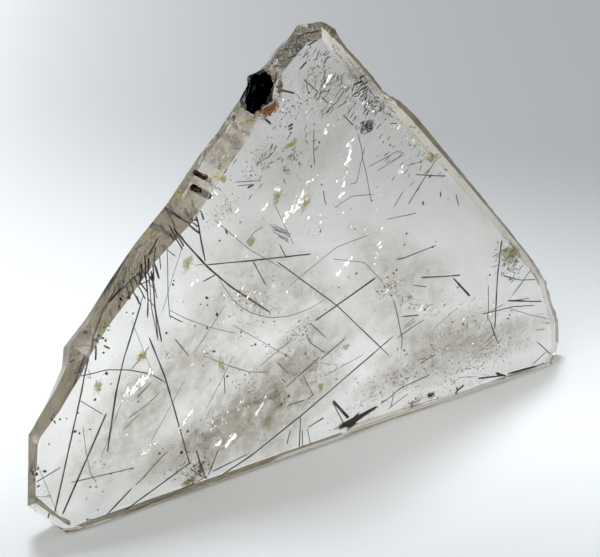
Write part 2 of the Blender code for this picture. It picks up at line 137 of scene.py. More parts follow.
# Needles: width, depth behind the front face at the first and the last point, and the points
# (x, z) where each shows in the front face, as in the solids.
NEEDLES = [
    (0.45, (2.1, 4.6), [(-57, 42.4), (-67.2, 7)]), (0.5, (4.5, 2.2), [(-54.6, 25.2), (-65.4, 6)]),
    (0.45, (4.8, 2.4), [(-45.8, 47), (-50, 36.5), (-52, 29.8), (-54.6, 16.8)]),
    (0.4, (1.7, 4.2), [(-55.6, 2), (-49.3, 6.2)]), (0.35, (1.1, 4.1), [(-51, 1.7), (-35, 7.6)]),
    (0.45, (2, 5.3), [(-37.6, 61.1), (-34.7, 57), (-30, 50.8), (-24.3, 44.7), (-15, 36.4)]),
    (0.4, (3.1, 4.1), [(-32.4, 64), (-31.4, 57), (-30.5, 52.3)]),
    (0.45, (2.5, 4.8), [(46, 35.8), (45.2, 27), (45, 15)]), (0.5, (2.8, 4.2), [(32.9, 30.6), (37.6, 25)]),
    (0.38, (2.4, 4.9), [(-44, 39), (-40.5, 29), (-37, 15), (-35.2, 7.5)]),
    (0.28, (1.7, 4.1), [(-12.8, 47), (2, 33), (15.9, 17)]), (0.5, (5.2, 2.5), [(-3.3, 31.1), (11.9, 36.5)]),
    (0.4, (1.4, 5.2), [(-28, 1.9), (-20, 4.2), (-6.5, 10), (16.7, 21.2)]),
    (0.32, (2.5, 4.3), [(-11, 17.7), (-2.3, 22.2)]), (0.34, (4.5, 2.8), [(-2.2, 21.5), (4.1, 24.5)]),
    (0.36, (2.5, 4.6), [(24.3, 33.2), (30, 31.8), (34.8, 30.8)]),
    (0.36, (4.8, 2.7), [(-30, 51.3), (-19, 49.2), (-4.7, 46.7)]),
    (0.36, (2.7, 4.3), [(-31, 47.9), (-28.2, 48.5)]), (0.36, (4.5, 2.9), [(-45.1, 57.6), (-45, 52.5)]),
    (0.5, (2.9, 4.1), [(-43.7, 56.5), (-43.8, 53.8)]),
    (0.36, (2.1, 4.5), [(-44.4, 53.6), (-44.1, 47.5), (-44.3, 43.8)]),
    (0.4, (4.8, 2.4), [(-43.2, 53.6), (-42.7, 49), (-42.5, 45), (-41.2, 37.5)]),
    (0.3, (5.2, 3.3), [(-48.3, 53.3), (-46.2, 47.3)]), (0.3, (2.5, 3.8), [(-47.4, 54), (-46.2, 51)]),
    (0.34, (3.2, 3.9), [(-43.4, 60.8), (-45, 58.4)]), (0.36, (3.1, 4.2), [(-39.8, 63.2), (-36.8, 57)]),
    (0.4, (3.2, 4.1), [(-36.8, 66.6), (-35.8, 64.6)]), (0.34, (3.1, 4.1), [(-33.6, 67.2), (-33, 64.6)]),
    (0.4, (4.6, 3.1), [(-33.5, 10), (-31.6, 3.6)]), (0.34, (4.3, 2.9), [(-28, 8.5), (-30.6, 3.2)]),
    (0.32, (2.7, 4.8), [(-29.6, 3.7), (-21, 4.9)]), (0.36, (4.3, 2.4), [(-7.2, 9.4), (-7.6, 2.4)]),
    (0.3, (4.3, 2.9), [(-9.9, 6.9), (-10.8, 4)]), (0.36, (4.3, 2.8), [(-5.2, 6.3), (-1.3, 7.3)]),
    (0.3, (2.9, 4.1), [(-10.5, 13.2), (-6.3, 13.2)]), (0.3, (2.7, 4.3), [(20.4, 51.4), (27.2, 59.5)]),
    (0.32, (3.1, 4.1), [(17.8, 39.3), (19.4, 39.1)]), (0.32, (2.8, 4.3), [(19.4, 25.3), (23.7, 24.4)]),
    (0.3, (4.1, 2.9), [(24.5, 12.6), (28.3, 13.4)]), (0.4, (2.5, 4.6), [(48.5, 20.7), (58, 17.8)]),
    (0.3, (2.5, 4.5), [(41.4, 19.5), (50, 18.8), (56, 17.4)]), (0.3, (4.1, 2.9), [(43.2, 18), (46.1, 10.8)]),
    (0.42, (4.2, 2), [(40.8, 3.8), (48.3, 2.3)]), (0.45, (3.9, 3.1), [(-20.2, 65.5), (-18.7, 65.8)]),
    (0.45, (3.1, 3.9), [(-25.5, 57.8), (-25.2, 56.8)]), (0.36, (3.9, 3.1), [(28.8, 52), (28.9, 50.8)]),
]
# The solids hold the needles a little stout; they are drawn at this share of that width.
NEEDLE_SHARE = 0.86
# The bar's ends: where each shows in the front face (x, z), and its depth.
BAR = ((2.4, 3.3, 3.2), (12.9, 5.6, 2.6))

# Fine needles by how stout they look: points (x, z) where they show in the front face.
BOLD = [
    [(-53.5, 49.9), (-50.9, 52)], [(34.5, 2.4), (36.6, 3.4)], [(5.5, 79.3), (9, 80.3)],
    [(6, 81.5), (8.2, 81.7)], [(-15.8, 79.3), (-14.5, 77.9)], [(-22.3, 80.2), (-21.6, 80.9)],
    [(-11.9, 84.5), (-8.8, 83.1)], [(-38, 64.7), (-35, 62.4)], [(-35, 68.6), (-34, 69.7)],
    [(45.7, 3.6), (48.5, 2.2)], [(49.5, 2.4), (57, 2)], [(-10.2, 91), (-8, 91.3)],
    [(-6.6, 95.2), (-2.8, 95)],
    [(-56.9, 42.7), (-56.2, 42.1)], [(-55.4, 42.6), (-54.4, 42)], [(5, 3.9), (8, 5.5)],
    [(24.2, 50.9), (24.3, 50.2)],
]
THIN = [
    [(-48, 6.9), (-46.1, 8), (-43.6, 10), (-40.6, 12)],
    [(-53.8, 0.9), (-47, 1.2), (-41, 1.5), (-35.2, 2.3), (-31, 3)], [(-71, 15.2), (-65.5, 16.6)],
    [(-63, 12.4), (-48.7, 10.9)], [(-49.3, 22.7), (-45, 24.3), (-42, 26.1)], [(-47.2, 26.7), (-43.9, 29)],
    [(-48.5, 33.4), (-46.3, 35), (-44.2, 37.1)],
    [(-60.1, 35.3), (-54, 35), (-49, 33.4), (-44, 31), (-40.7, 28.2)], [(-60.3, 30), (-55.5, 25.5)],
    [(-46.5, 49), (-46, 47), (-45.2, 48.8)], [(-44.2, 48), (-42.6, 45.5)], [(-42.5, 45), (-42, 38)],
    [(-43.7, 53.5), (-43.4, 46), (-42, 38)], [(-42.1, 58.5), (-42.6, 55), (-42.9, 52), (-42, 47.3)],
    [(-39.3, 57), (-39.4, 47), (-39.2, 43), (-39, 42)], [(-46.8, 54.8), (-45.5, 52)],
    [(-46.3, 56.2), (-45.2, 53.3)], [(-42.6, 60.8), (-44.3, 58)], [(-43.6, 61), (-42.9, 61.2)],
    [(-40.8, 58.6), (-39.3, 57.5)], [(-55, 51), (-48, 55)], [(-37.6, 66.5), (-35.5, 63.5)],
    [(-35, 62.4), (-32, 60.3)], [(-34.6, 66.6), (-33.5, 63.5)], [(-29, 69), (-27.5, 67.2)],
    [(-39, 42.5), (-36.5, 40.5)], [(-38, 37), (-35, 32.5)], [(-19, 49), (-16, 43)],
    [(-26.4, 25.4), (-26.2, 21)], [(-4.6, 30.6), (-0.9, 26.4)], [(-5.8, 28.5), (-4.5, 26), (-1, 22.8)],
    [(-14, 16.2), (-12, 17)], [(-6.5, 19), (-4, 13.5)], [(-12, 20), (-11, 18.8)], [(-13, 24), (-10.5, 20.8)],
    [(-6.8, 6), (-6.7, 1.7)], [(-5.5, 6), (-4.6, 1.7)], [(-5.5, 13.1), (-4, 13.7)], [(-35, 6), (-31, 2.5)],
    [(-33, 7), (-31, 2.5)], [(1, 10.5), (4, 4.3)], [(14, 5.9), (17, 7), (18, 7.7), (20, 8.2), (27, 8.9)],
    [(17.3, 7), (16.6, 4.2)], [(16, 4.1), (21.2, 6.1)], [(23.8, 13.5), (25.6, 13.4)],
    [(18, 20.5), (22, 22), (25, 22.8)], [(20, 22.9), (22.5, 24)], [(19.7, 22.3), (22.7, 23.3)],
    [(19, 21), (21.8, 21.9)], [(16.8, 30), (17.6, 27.5), (18.9, 22), (19.4, 20), (19.2, 17.6)],
    [(22.2, 32), (25.5, 30.6)], [(19.4, 39.1), (24.5, 39.5), (27.8, 39.7)],
    [(42.7, 26), (43, 20), (42.7, 17.5)], [(50, 20.3), (54.5, 19.6)], [(44, 19.6), (47, 20.2)],
    [(56, 19), (61, 18.7)], [(52.2, 23.9), (49.7, 21.8)], [(54.5, 26.3), (50.3, 22.3)],
    [(57, 10.9), (59.3, 10.5)], [(56.5, 2.6), (60, 4.6)], [(46.2, 37.5), (46.5, 36.2)],
    [(43.8, 32.7), (47.8, 33.6)], [(46.8, 27.3), (51.5, 24.9), (56, 23.7)],
    [(-4, 74), (-4, 69), (-3.8, 66.5)], [(-6, 72.3), (-5.5, 71.5)], [(-1.6, 60), (-1.2, 57.7), (-0.8, 56.8)],
    [(-12.5, 51), (-10.9, 47.8)], [(16.6, 51.7), (18.8, 54.5)], [(22.2, 57.6), (30, 55.2)],
    [(15, 49.3), (22.4, 48.7)], [(13.5, 73.5), (17.4, 71.2)], [(20, 69.1), (21.8, 68.2), (21.7, 69.8)],
    [(-1.3, 76.9), (2.2, 79.1)], [(-2, 80.6), (-0.5, 79)], [(3.3, 75.5), (5.8, 72.7)],
    [(-6.5, 85.5), (-3, 82)], [(-3.3, 87.8), (-2.5, 87)], [(57.5, 7.8), (62, 3)], [(42, 12), (45.5, 13.8)],
    [(41.5, 10.6), (44.6, 12.2)], [(33, 50.2), (33.8, 47.6)],
]
HAIRS = [
    [(-72, 12.2), (-68.1, 10.8)], [(-70.6, 19), (-69, 14), (-67.5, 9), (-66.5, 6)],
    [(-50.5, 20.5), (-47, 22.7)], [(-60, 24), (-59.5, 18), (-58.7, 13), (-57.5, 10.5)],
    [(-59.9, 37.5), (-60, 35.6)], [(-33, 52), (-31, 51.7)],
    [(-39, 43.7), (-35, 40.6), (-30, 37.4), (-23.5, 34)],
    [(-27.2, 47.5), (-26, 45), (-23.5, 41), (-20, 37.8), (-15, 35), (-10, 34), (-5, 34.2), (-1, 35.3)],
    [(-33.5, 32.5), (-26, 41)], [(-31, 31), (-25, 27), (-20, 24), (-15, 22.5)],
    [(-17.4, 24.7), (-12.6, 27), (-9.5, 28.5)], [(-1, 17.3), (9, 19.3)], [(2.2, 18.6), (1.5, 17.5)],
    [(49, 18.7), (55, 15.3), (60, 13), (61.8, 11.8)], [(35, 5.8), (40, 4.5)],
    [(7, 70.5), (8, 67), (8.3, 64.5), (9.3, 61), (10.5, 55)],
    [(8.7, 67), (7.5, 62.5), (6.8, 59.7), (5.2, 59.8)], [(-20.3, 54), (-18.5, 55.5), (-16.5, 56)],
    [(1.3, 55.5), (5.5, 57), (11, 56)], [(10, 62.5), (17.5, 64.2)], [(19.8, 60.2), (24, 60.2)],
    [(-23, 67.5), (-17, 66.3)], [(-22.4, 66.6), (-18.8, 65.9)], [(-24, 36), (-18, 31), (-9, 23.5)],
    [(-14, 61), (-9, 50)], [(12, 61), (19, 63)], [(-30, 20), (-24, 29)], [(-44, 16), (-36, 27)],
    [(-56, 16), (-51, 26.5)], [(-28, 60.5), (-20, 52), (-12, 45.5)], [(28, 20), (36, 24)],
    [(1, 44), (9, 41), (14, 35)], [(-10, 41), (2, 46.5), (10, 47)], [(-48, 44), (-43.5, 31)],
    [(-35.6, 57.5), (-38.6, 50), (-40.8, 44)],
]
# Short dashes strewn over the upper face: centre, half sizes, turn in degrees, count and length.
DASHES = [
    ((0, 82), (7, 6), -40, 50, 1.1), ((9, 74), (8, 4), -50, 40, 1), ((-14, 70), (8, 6), 30, 36, 0.9),
    ((-4, 90), (4, 2.5), 0, 24, 0.8), ((20, 60), (9, 6), -50, 26, 0.9), ((48, 30), (4, 5), 30, 30, 1),
]
# The grey bundle above the middle: first and last needle's ends, and how many there are.
BUNDLE = [
    ((-16.5, 59), (-15, 56.6)), ((-14.2, 54.8), (-9.5, 52.3)), ((-13, 53.4), (-10.5, 51.2)),
]
BUNDLE_COUNT = 11

# Grains by size: places (x, z) where they show in the front face.
BIG_GRAINS = [
    (-54.2, 34.3), (-37.1, 10.7), (-30.3, 37.2), (-28.7, 31.4), (-12.2, 14), (-11.3, 14.9), (-10.3, 15.3),
    (-35.4, 15.1), (12.8, 74.3), (-61.9, 23.6), (-70.5, 14.1), (-27.9, 39.6), (55.7, 2), (60, 18),
    (-71.9, 18.6), (-71.9, 17.9), (-71.8, 17.3), (-30.3, 44), (34.8, 3.2), (45.9, 3.5), (46.4, 3.2),
    (-50.4, 49.6), (-49.8, 49.9), (-48.7, 49.5), (-56.2, 42.1), (-55.2, 42.6), (-10, 76.3), (-9.5, 75.8),
    (-9.4, 76.5), (-9.9, 75.6),
]
GRAINS = [
    (-67.8, 22.7), (-60.8, 22.9), (-58.4, 23), (-60.8, 21.2), (-55.4, 13.9), (-58.9, 9.9), (-57.5, 9.5),
    (-56, 7.9), (-57.3, 4.1), (-59.8, 2.7), (-59, 2.4), (-62.3, 2.1), (-63.8, 2.7), (-72, 11), (-71.5, 8.9),
    (-70, 6.9), (-54.1, 45.3), (-53.3, 43.5), (-49.1, 46.2), (-47.6, 45.6), (-58.3, 34.6), (-53.3, 31.6),
    (-57, 29.3), (-65.5, 29.2), (-66.4, 28.8), (-67, 28), (-67.8, 28.5), (-47.1, 25.6), (-44, 25),
    (-54.7, 39), (-61.8, 38.1), (-40, 39), (-61, 27.5), (-18.9, 17.7), (-18.1, 7.6), (-36.2, 40.4),
    (-33.2, 38.5), (-24.9, 38.3), (-16.6, 34.5), (-13.8, 33.9), (-12.5, 31), (-15.1, 29), (-18.6, 30),
    (-19.4, 30), (-16, 28.8), (-11, 25.2), (-4.7, 30.6), (-5.9, 29.3), (-25.6, 24.8), (-22.3, 42.1),
    (-31.8, 43), (-6, 24), (-22, 33.9), (-31.4, 29), (7, 14.2), (7.7, 13), (2, 15.6), (18.2, 17.8), (20, 17),
    (27.3, 16.2), (30.5, 13), (32.3, 10.8), (27.7, 10.9), (36, 18.6), (33, 20), (32.5, 20.8), (48.6, 16.3),
    (49, 17.2), (44.3, 21.5), (38, 15), (36, 12), (39.8, 9.5), (20, 44.6), (19.5, 42.2), (15.2, 35.8),
    (16.8, 36.3), (17.5, 36.9), (13.2, 31.2), (11.2, 31.2), (16.3, 31.2), (12, 33.9), (12.6, 33.2),
    (13.8, 32.9), (5, 38.7), (7, 39), (2.5, 37), (27, 39.6), (27.9, 40.6), (30.7, 24.8), (25.4, 25.3),
    (12.1, 28.9), (34.2, 28), (39, 24), (47.1, 30), (49.7, 31.2), (43, 28.5), (42, 28.1), (48.9, 25.8),
    (51.1, 26.7), (50, 27.2), (46.3, 28.1), (48.7, 35.2), (47.3, 37.4), (-51, 54.4), (-50.2, 54.9),
    (-49, 56),
    (-48.4, 56.5), (-47.6, 57.6), (-26.9, 71.5), (-21.3, 69.4), (-22, 58.4), (-27, 55.8), (-27.8, 61.5),
    (-2, 61.5), (-2.6, 71), (-2.3, 51.1), (-4.6, 66.2), (16.2, 65.5), (15.3, 66), (13.5, 67.1), (12.1, 64.4),
    (25.1, 61.4), (25, 60.4), (20.5, 61.7), (10.7, 54.7), (33.8, 54.1), (27.6, 60.4), (-38, 50),
    (-38.2, 49.2), (-5.3, 82.4), (14.5, 76.2), (-54, 11.3), (-51.3, 11), (-49, 10.9), (-48, 6.9), (-46.1, 8),
    (-43.6, 10), (-20.1, 23.7), (-18.3, 24.2), (-19.3, 68), (-25.6, 70.3), (-42.3, 12.2), (-41.5, 13),
]
# Drifts of small grains: centre (x, z), half sizes, turn in degrees, count and size.
DARK_DRIFTS = [
    ((1, 81), (9, 7.5), -35, 230, 0.3), ((9, 78), (6, 2.6), -50, 182, 0.32),
    ((-4, 87.5), (4.5, 3), 25, 105, 0.26), ((-10, 80), (4.5, 4), 0, 112, 0.32),
    ((-9, 69.5), (2, 1.5), -20, 77, 0.32), ((-10.7, 66.7), (0.9, 0.5), -20, 28, 0.26),
    ((-18, 71), (5, 3), 40, 77, 0.26), ((-39.5, 34), (1.2, 0.9), 40, 42, 0.26),
    ((-30, 31.5), (1.3, 1), 0, 42, 0.26), ((48.5, 30.5), (3.6, 4), 30, 105, 0.35),
    ((22, 64), (4.5, 2), -48, 49, 0.29), ((-20, 38), (22, 14), 0, 224, 0.22),
    ((-50, 20), (20, 17), 0, 210, 0.21), ((25, 30), (30, 22), -40, 294, 0.22),
    ((-5, 58), (18, 12), 0, 154, 0.21), ((12.7, 74.6), (0.7, 0.7), 0, 28, 0.32),
    ((-15.2, 81.2), (1.6, 0.8), 25, 60, 0.3), ((9.5, 82.5), (8.5, 1.6), -52, 160, 0.3),
    ((-23, 81), (3, 1), 52, 60, 0.28),
]
BROWN_DRIFTS = [
    ((-22, 42), (5.5, 3), -35, 240, 0.22), ((-17, 38), (5, 2.6), -35, 240, 0.22),
    ((-8, 29.5), (5, 2.6), 20, 336, 0.25), ((-32, 12), (8, 4), 35, 728, 0.25),
    ((-16, 19), (10, 6), 15, 868, 0.25), ((-4, 20), (6, 6), 0, 532, 0.25),
    ((-33, 5), (3.5, 1.8), 30, 475, 0.28), ((20, 11), (16, 4), 18, 784, 0.28),
    ((42, 9), (14, 5), 18, 868, 0.28), ((35, 17), (12, 4), 10, 503, 0.25),
    ((48, 31), (3, 3.6), 20, 237, 0.28), ((22, 28), (9, 1.6), -35, 364, 0.25),
    ((-26, 62), (4, 2.4), 20, 237, 0.22), ((11, 82), (6, 2.4), -50, 461, 0.25),
    ((-17, 71), (5, 2.6), 40, 237, 0.22), ((23, 3.6), (2.4, 0.6), 8, 125, 0.28),
    ((-12.3, 85.2), (0.6, 2.2), 0, 224, 0.33), ((9, 83), (10, 2), -52, 979, 0.3),
    ((16, 33.5), (4, 1.6), 10, 182, 0.25),
]
RUST_DRIFTS = [
    ((-15, 80.9), (1.7, 1), 25, 520, 0.34), ((-13.6, 82), (0.9, 1), 40, 130, 0.28),
    ((-18.6, 80.2), (1.2, 0.6), 0, 60, 0.26),
]
YELLOW_DRIFTS = [
    ((-56.2, 31.8), (0.8, 1.2), 0, 120, 0.26), ((-46, 35.5), (1, 0.9), 30, 120, 0.26),
    ((-34.7, 52.8), (0.9, 1.5), -20, 130, 0.26), ((-35.5, 3.2), (1.6, 0.7), 20, 120, 0.24),
    ((-2, 15), (0.6, 1), 0, 80, 0.24), ((-9.5, 72.3), (1.6, 0.6), 18, 110, 0.26),
    ((-13, 61.7), (0.8, 1.4), -20, 110, 0.26), ((-6, 58.5), (0.8, 1.8), -25, 90, 0.24),
    ((48.5, 32), (2.4, 1.8), 0, 60, 0.24), ((26, 60.5), (1.8, 0.6), 0, 40, 0.22),
    ((-19.5, 53.5), (0.9, 1), 0, 70, 0.22), ((4.5, 22.5), (0.8, 0.6), 0, 40, 0.22),
    ((-27, 70), (0.5, 0.9), 20, 50, 0.24), ((-27, 28), (0.6, 1.8), 10, 60, 0.22),
    ((14.5, 70), (3, 2), -30, 60, 0.2), ((-37.5, 6), (2, 1), 30, 70, 0.22),
]
# The way that bright cracks face, which catches the light for the eye at EYE.
FLAKE_FACING = (-0.304, -0.894, 0.329)
# White flakes: first and last place of a run of slivers, its half width, count and length.
FLAKE_RUNS = [
    ((-11.5, 56.2), (-6.2, 60.4), 0.9, 60, 1.5), ((-13.6, 62.6), (-12.4, 64.2), 0.5, 14, 1),
    ((-16.6, 59.8), (-15.2, 61.2), 0.5, 12, 0.9), ((-23.2, 60.2), (-22.2, 61.4), 0.4, 9, 0.9),
    ((-27.2, 59.2), (-26, 60.8), 0.4, 9, 0.9), ((-5.6, 62.6), (-3, 64), 0.4, 12, 0.9),
    ((-1.4, 72.6), (-0.5, 74.4), 0.4, 9, 0.8), ((-19.4, 13.2), (-17.2, 15), 0.5, 16, 1),
    ((-17, 16), (-16, 17.2), 0.3, 8, 0.8), ((-26.8, 8.6), (-24, 10.4), 0.9, 30, 1.2),
    ((-28.8, 9.4), (-26.8, 10.2), 0.4, 12, 1), ((-51.2, 27.2), (-43.6, 31.4), 0.7, 60, 1.6),
    ((-33.6, 47.8), (-31.8, 49.2), 0.3, 10, 1), ((2, 40), (5.8, 42.9), 0.4, 26, 1.2),
    ((11.6, 39.6), (13.6, 45.2), 0.5, 16, 0.8), ((3, 57.6), (5.7, 70), 0.5, 46, 1.2),
    ((17.9, 58.8), (18.7, 60.8), 0.4, 12, 1), ((-1.4, 82.6), (0.1, 85.2), 0.3, 14, 1.2),
    ((-38, 16), (-34, 19.5), 0.5, 16, 0.8), ((-46.5, 13), (-43, 15), 0.5, 14, 0.7),
    ((23.4, 25), (25, 26.6), 0.3, 7, 0.7), ((-24, 42), (-16, 41), 1.6, 16, 0.6),
    ((-30, 14), (-21, 17.5), 1.6, 20, 0.6), ((-12, 83), (4, 76), 4, 34, 0.5),
    ((-6, 56), (-2, 52), 1.5, 12, 0.7), ((-36, 40), (22, 55), 16, 34, 0.6),
    ((14.5, 32.2), (16.5, 33.6), 0.4, 8, 0.6), ((28, 22), (50, 12), 6, 16, 0.6),
    ((-15, 90), (-13, 91.2), 0.5, 20, 0.9), ((-32, 69.5), (-28.5, 66), 0.8, 14, 0.5),
    ((13, 72.4), (22, 66), 1.3, 26, 0.5), ((4, 83), (12, 74), 1.5, 30, 0.5),
    ((-24.2, 79.2), (-20.8, 84.2), 1, 60, 0.8),
]
# Brown veils of tiny bubbles: centre, half sizes, turn, depth and strength.
VEILS = [
    ("lower_middle", (-17, 15.5), (30, 12.5), 18, 4.2, 0.52), ("left", (-50, 19), (18, 15), 30, 3.5, 0.26),
    ("left_middle", (-34, 30), (18, 12), 10, 3.8, 0.32), ("centre", (-14, 42), (24, 12), -30, 4.5, 0.27),
    ("right_lower", (32, 14), (27, 9), -4, 4.2, 0.4), ("right_upper", (18, 34), (18, 12), -45, 3.9, 0.26),
    ("upper", (-8, 67), (14, 9), 20, 3.9, 0.14), ("tip", (1, 82), (9, 7), -20, 3.2, 0.12),
]
# Sheets of faint haze through the whole plate: y and strength.
HAZE = [
    (-3.6, 0.08), (-1.4, 0.1), (0.9, 0.1),
]


def linear(colour):
    """Linear red, green and blue of an sRGB hex colour."""
    shares = np.array([int(colour[i:i + 2], 16) for i in (1, 3, 5)]) / 255
    return tuple(np.where(shares <= 0.04045, shares / 12.92, ((shares + 0.055) / 1.055) ** 2.4))


def outline_corners():
    """Front, rim, heel and back rings of the plate's corners, each with columns x, y, z."""
    front, rim, heel, back = [], [], [], []
    for face, edge, rear in SLOPES:
        front.append((face[0], FRONT_Y, face[1]))
        rim.append((edge[0], edge[2] - RIDGE / 2, edge[1]))
        heel.append((edge[0], edge[2] + RIDGE / 2, edge[1]))
        back.append((rear[0], BACK_Y, rear[1]))
    for face, toe_x, heel_x, rear in STANDING_EDGE:
        front.append((face[0], FRONT_Y, face[1]))
        rim.append((toe_x, TOE_Y, 0.0))
        heel.append((heel_x, HEEL_Y, 0.0))
        back.append((rear[0], BACK_Y, rear[1]))
    return np.array([front, rim, heel, back])


CORNERS = outline_corners()


def unit(vectors):
    """Vectors scaled to length one."""
    return vectors / np.linalg.norm(vectors, axis=-1, keepdims=True)


def turn_rows(turn):
    """The matrix that turns rows of (x, z) by an angle in degrees, anticlockwise."""
    angle = math.radians(turn)
    return np.array([[math.cos(angle), math.sin(angle)], [-math.sin(angle), math.cos(angle)]])


def front_triangles():
    """The CAD front half's triangles that touch the front face's plane: face and bevels."""
    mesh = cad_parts["quartz_front_half"].data
    mesh.calc_loop_triangles()
    corners = np.empty(len(mesh.vertices) * 3)
    mesh.vertices.foreach_get("co", corners)
    corners = corners.reshape(-1, 3) / MM - SHIFT
    index = np.empty(len(mesh.loop_triangles) * 3, dtype=int)
    mesh.loop_triangles.foreach_get("vertices", index)
    triangles = corners[index.reshape(-1, 3)]
    return triangles[(triangles[:, :, 1] < FRONT_Y + 0.01).any(axis=1)]


FRONT_TRIANGLES = front_triangles()


def sink(seen, depth):
    """Places at a depth behind the front plane of what shows in that plane from EYE.

    Each line of sight meets the nearest front triangle, bends there by the law of refraction
    (its slant along the surface shrinks by the index) and runs on to the wanted depth, or at
    least to LEAST_DEPTH behind where it came in, which keeps the place inside under a bevel.
    """
    seen, depth = np.asarray(seen, float), np.asarray(depth, float)
    target = np.stack([seen[..., 0], np.full(seen.shape[:-1], FRONT_Y), seen[..., 1]], axis=-1)
    flat = target.reshape(-1, 3)
    sight = unit(flat - EYE)
    first, second, third = np.moveaxis(FRONT_TRIANGLES, 1, 0)
    side_a, side_b = second - first, third - first
    normal = np.cross(side_a, side_b)
    reach = ((first - EYE) * normal).sum(1) / (sight @ normal.T)
    hit = EYE + sight[:, None] * reach[..., None] - first
    gram = (side_a * side_a).sum(1), (side_a * side_b).sum(1), (side_b * side_b).sum(1)
    along_a, along_b = (hit * side_a).sum(2), (hit * side_b).sum(2)
    area = gram[0] * gram[2] - gram[1] ** 2
    share_a = (gram[2] * along_a - gram[1] * along_b) / area
    share_b = (gram[0] * along_b - gram[1] * along_a) / area
    inside = (share_a > -1e-6) & (share_b > -1e-6) & (share_a + share_b < 1 + 1e-6)
    nearest = np.where(inside, reach, np.inf).argmin(1)
    missed = ~inside.any(1)
    rows = np.arange(len(flat))
    face = unit(normal[nearest])
    face *= -np.sign((face * sight).sum(1, keepdims=True))
    entry = EYE + sight * reach[rows, nearest][:, None]
    face[missed], entry[missed] = (0.0, -1.0, 0.0), flat[missed]
    across = (sight - face * (face * sight).sum(1, keepdims=True)) / QUARTZ_INDEX
    inward = across - face * np.sqrt(1 - (across**2).sum(1, keepdims=True))
    depths = np.broadcast_to(depth, seen.shape[:-1]).reshape(-1)
    steps = np.maximum(FRONT_Y + depths - entry[:, 1], LEAST_DEPTH) / inward[:, 1]
    return (entry + inward * steps[:, None]).reshape(target.shape)


def outline_at(y, rings):
    """The plate's outline at each y, between its rings by the share of the way; y x columns x 3."""
    front, rim, heel, back = rings
    y = np.asarray(y, float)[:, None]
    near = np.clip((y - FRONT_Y) / (rim[:, 1] - FRONT_Y), 0, 1)[..., None]
    far = np.clip((y - heel[:, 1]) / (BACK_Y - heel[:, 1]), 0, 1)[..., None]
    places = front + (rim - front) * near + (back - heel) * far
    places[..., 1] = y
    return places


def room(places):
    """How far inside the plate's wall each place is, in its own y plane; negative is outside."""
    start = outline_at(places[:, 1], CORNERS)[..., [0, 2]]
    end = np.roll(start, -1, axis=1)
    point = places[:, None, [0, 2]]
    edge, arm = end - start, point - start
    share = np.clip((arm * edge).sum(2) / (edge**2).sum(2), 0, 1)[..., None]
    gap = np.linalg.norm(arm - edge * share, axis=2).min(1)
    above = (start[..., 1] > point[..., 1]) != (end[..., 1] > point[..., 1])
    rise = np.where(np.abs(edge[..., 1]) < 1e-9, 1e-9, edge[..., 1])
    crossing = start[..., 0] + edge[..., 0] * (point[..., 1] - start[..., 1]) / rise
    odd = (above & (point[..., 0] < crossing)).sum(1) % 2 == 1
    return np.where(odd, gap, -gap)


def waves(places, count, shortest, longest, seed):
    """Smooth noise: a sum of plane waves with seeded directions, lengths and phases."""
    rng = np.random.default_rng(seed)
    ways = unit(rng.normal(size=(count, 3))) * 2 * math.pi / rng.uniform(shortest, longest, (count, 1))
    phases = rng.uniform(0, 2 * math.pi, count)
    return np.sin(places @ ways.T + phases).sum(-1) / math.sqrt(count / 2)


def new_object(name, data):
    """A new object in the scene's collection."""
    item = bpy.data.objects.new(name, data)
    bpy.context.scene.collection.objects.link(item)
    return item


def add_mesh(name, corners, faces, finish, body="root"):
    """A shown piece from corners in table millimetres; it rides on the CAD body."""
    mesh = bpy.data.meshes.new(name)
    mesh.from_pydata(((corners + SHIFT) * MM).tolist(), [], faces)
    mesh.materials.append(finish)
    piece = new_object(name, mesh)
    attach(piece, body)
    return piece


def mark(piece, name, shares):
    """Writes a share for each vertex, which the piece's material reads by its name."""
    piece.data.attributes.new(name, "FLOAT", "POINT").data.foreach_set("value", shares)


def quad_rows(rows, around):
    """Quads between neighbouring rows of a grid that closes across its columns."""
    ring = np.arange(around)
    after = (ring + 1) % around
    base = np.arange(rows - 1)[:, None] * around
    return np.stack([base + ring, base + after, base + around + after, base + around + ring], axis=-1)


def closed_bodies(name, rings, heads, tails, finish, sharp=30.0):
    """Closed bodies, each a stack of rings between two poles: quads between rings, fans at poles.

    rings is bodies x rings x ring corners x 3, heads and tails are bodies x 3.
    """
    bodies, stack, around, _ = rings.shape
    size = stack * around + 2
    corners = np.concatenate([rings.reshape(bodies, -1, 3), heads[:, None], tails[:, None]], axis=1)
    quads = quad_rows(stack, around)
    ring = np.arange(around)
    after = (ring + 1) % around
    head = np.stack([np.full(around, size - 2), after, ring], axis=-1)
    last = (stack - 1) * around
    tail = np.stack([np.full(around, size - 1), last + ring, last + after], axis=-1)
    fans = np.concatenate([head, tail])
    # the first body's volume from its triangles tells whether the faces point outwards
    wall = quads.reshape(-1, 4)
    triangles = np.concatenate([fans, wall[:, [0, 1, 2]], wall[:, [0, 2, 3]]])
    if np.linalg.det(corners[0][triangles]).sum() < 0:
        quads, fans = quads[..., ::-1], fans[:, ::-1]
    offsets = np.arange(bodies)[:, None, None] * size
    faces = (quads.reshape(1, -1, 4) + offsets).reshape(-1, 4).tolist()
    faces += (fans[None] + offsets).reshape(-1, 3).tolist()
    piece = add_mesh(name, corners.reshape(-1, 3), faces, finish)
    piece.data.shade_smooth()
    piece.data.set_sharp_from_angle(angle=math.radians(sharp))
    return piece


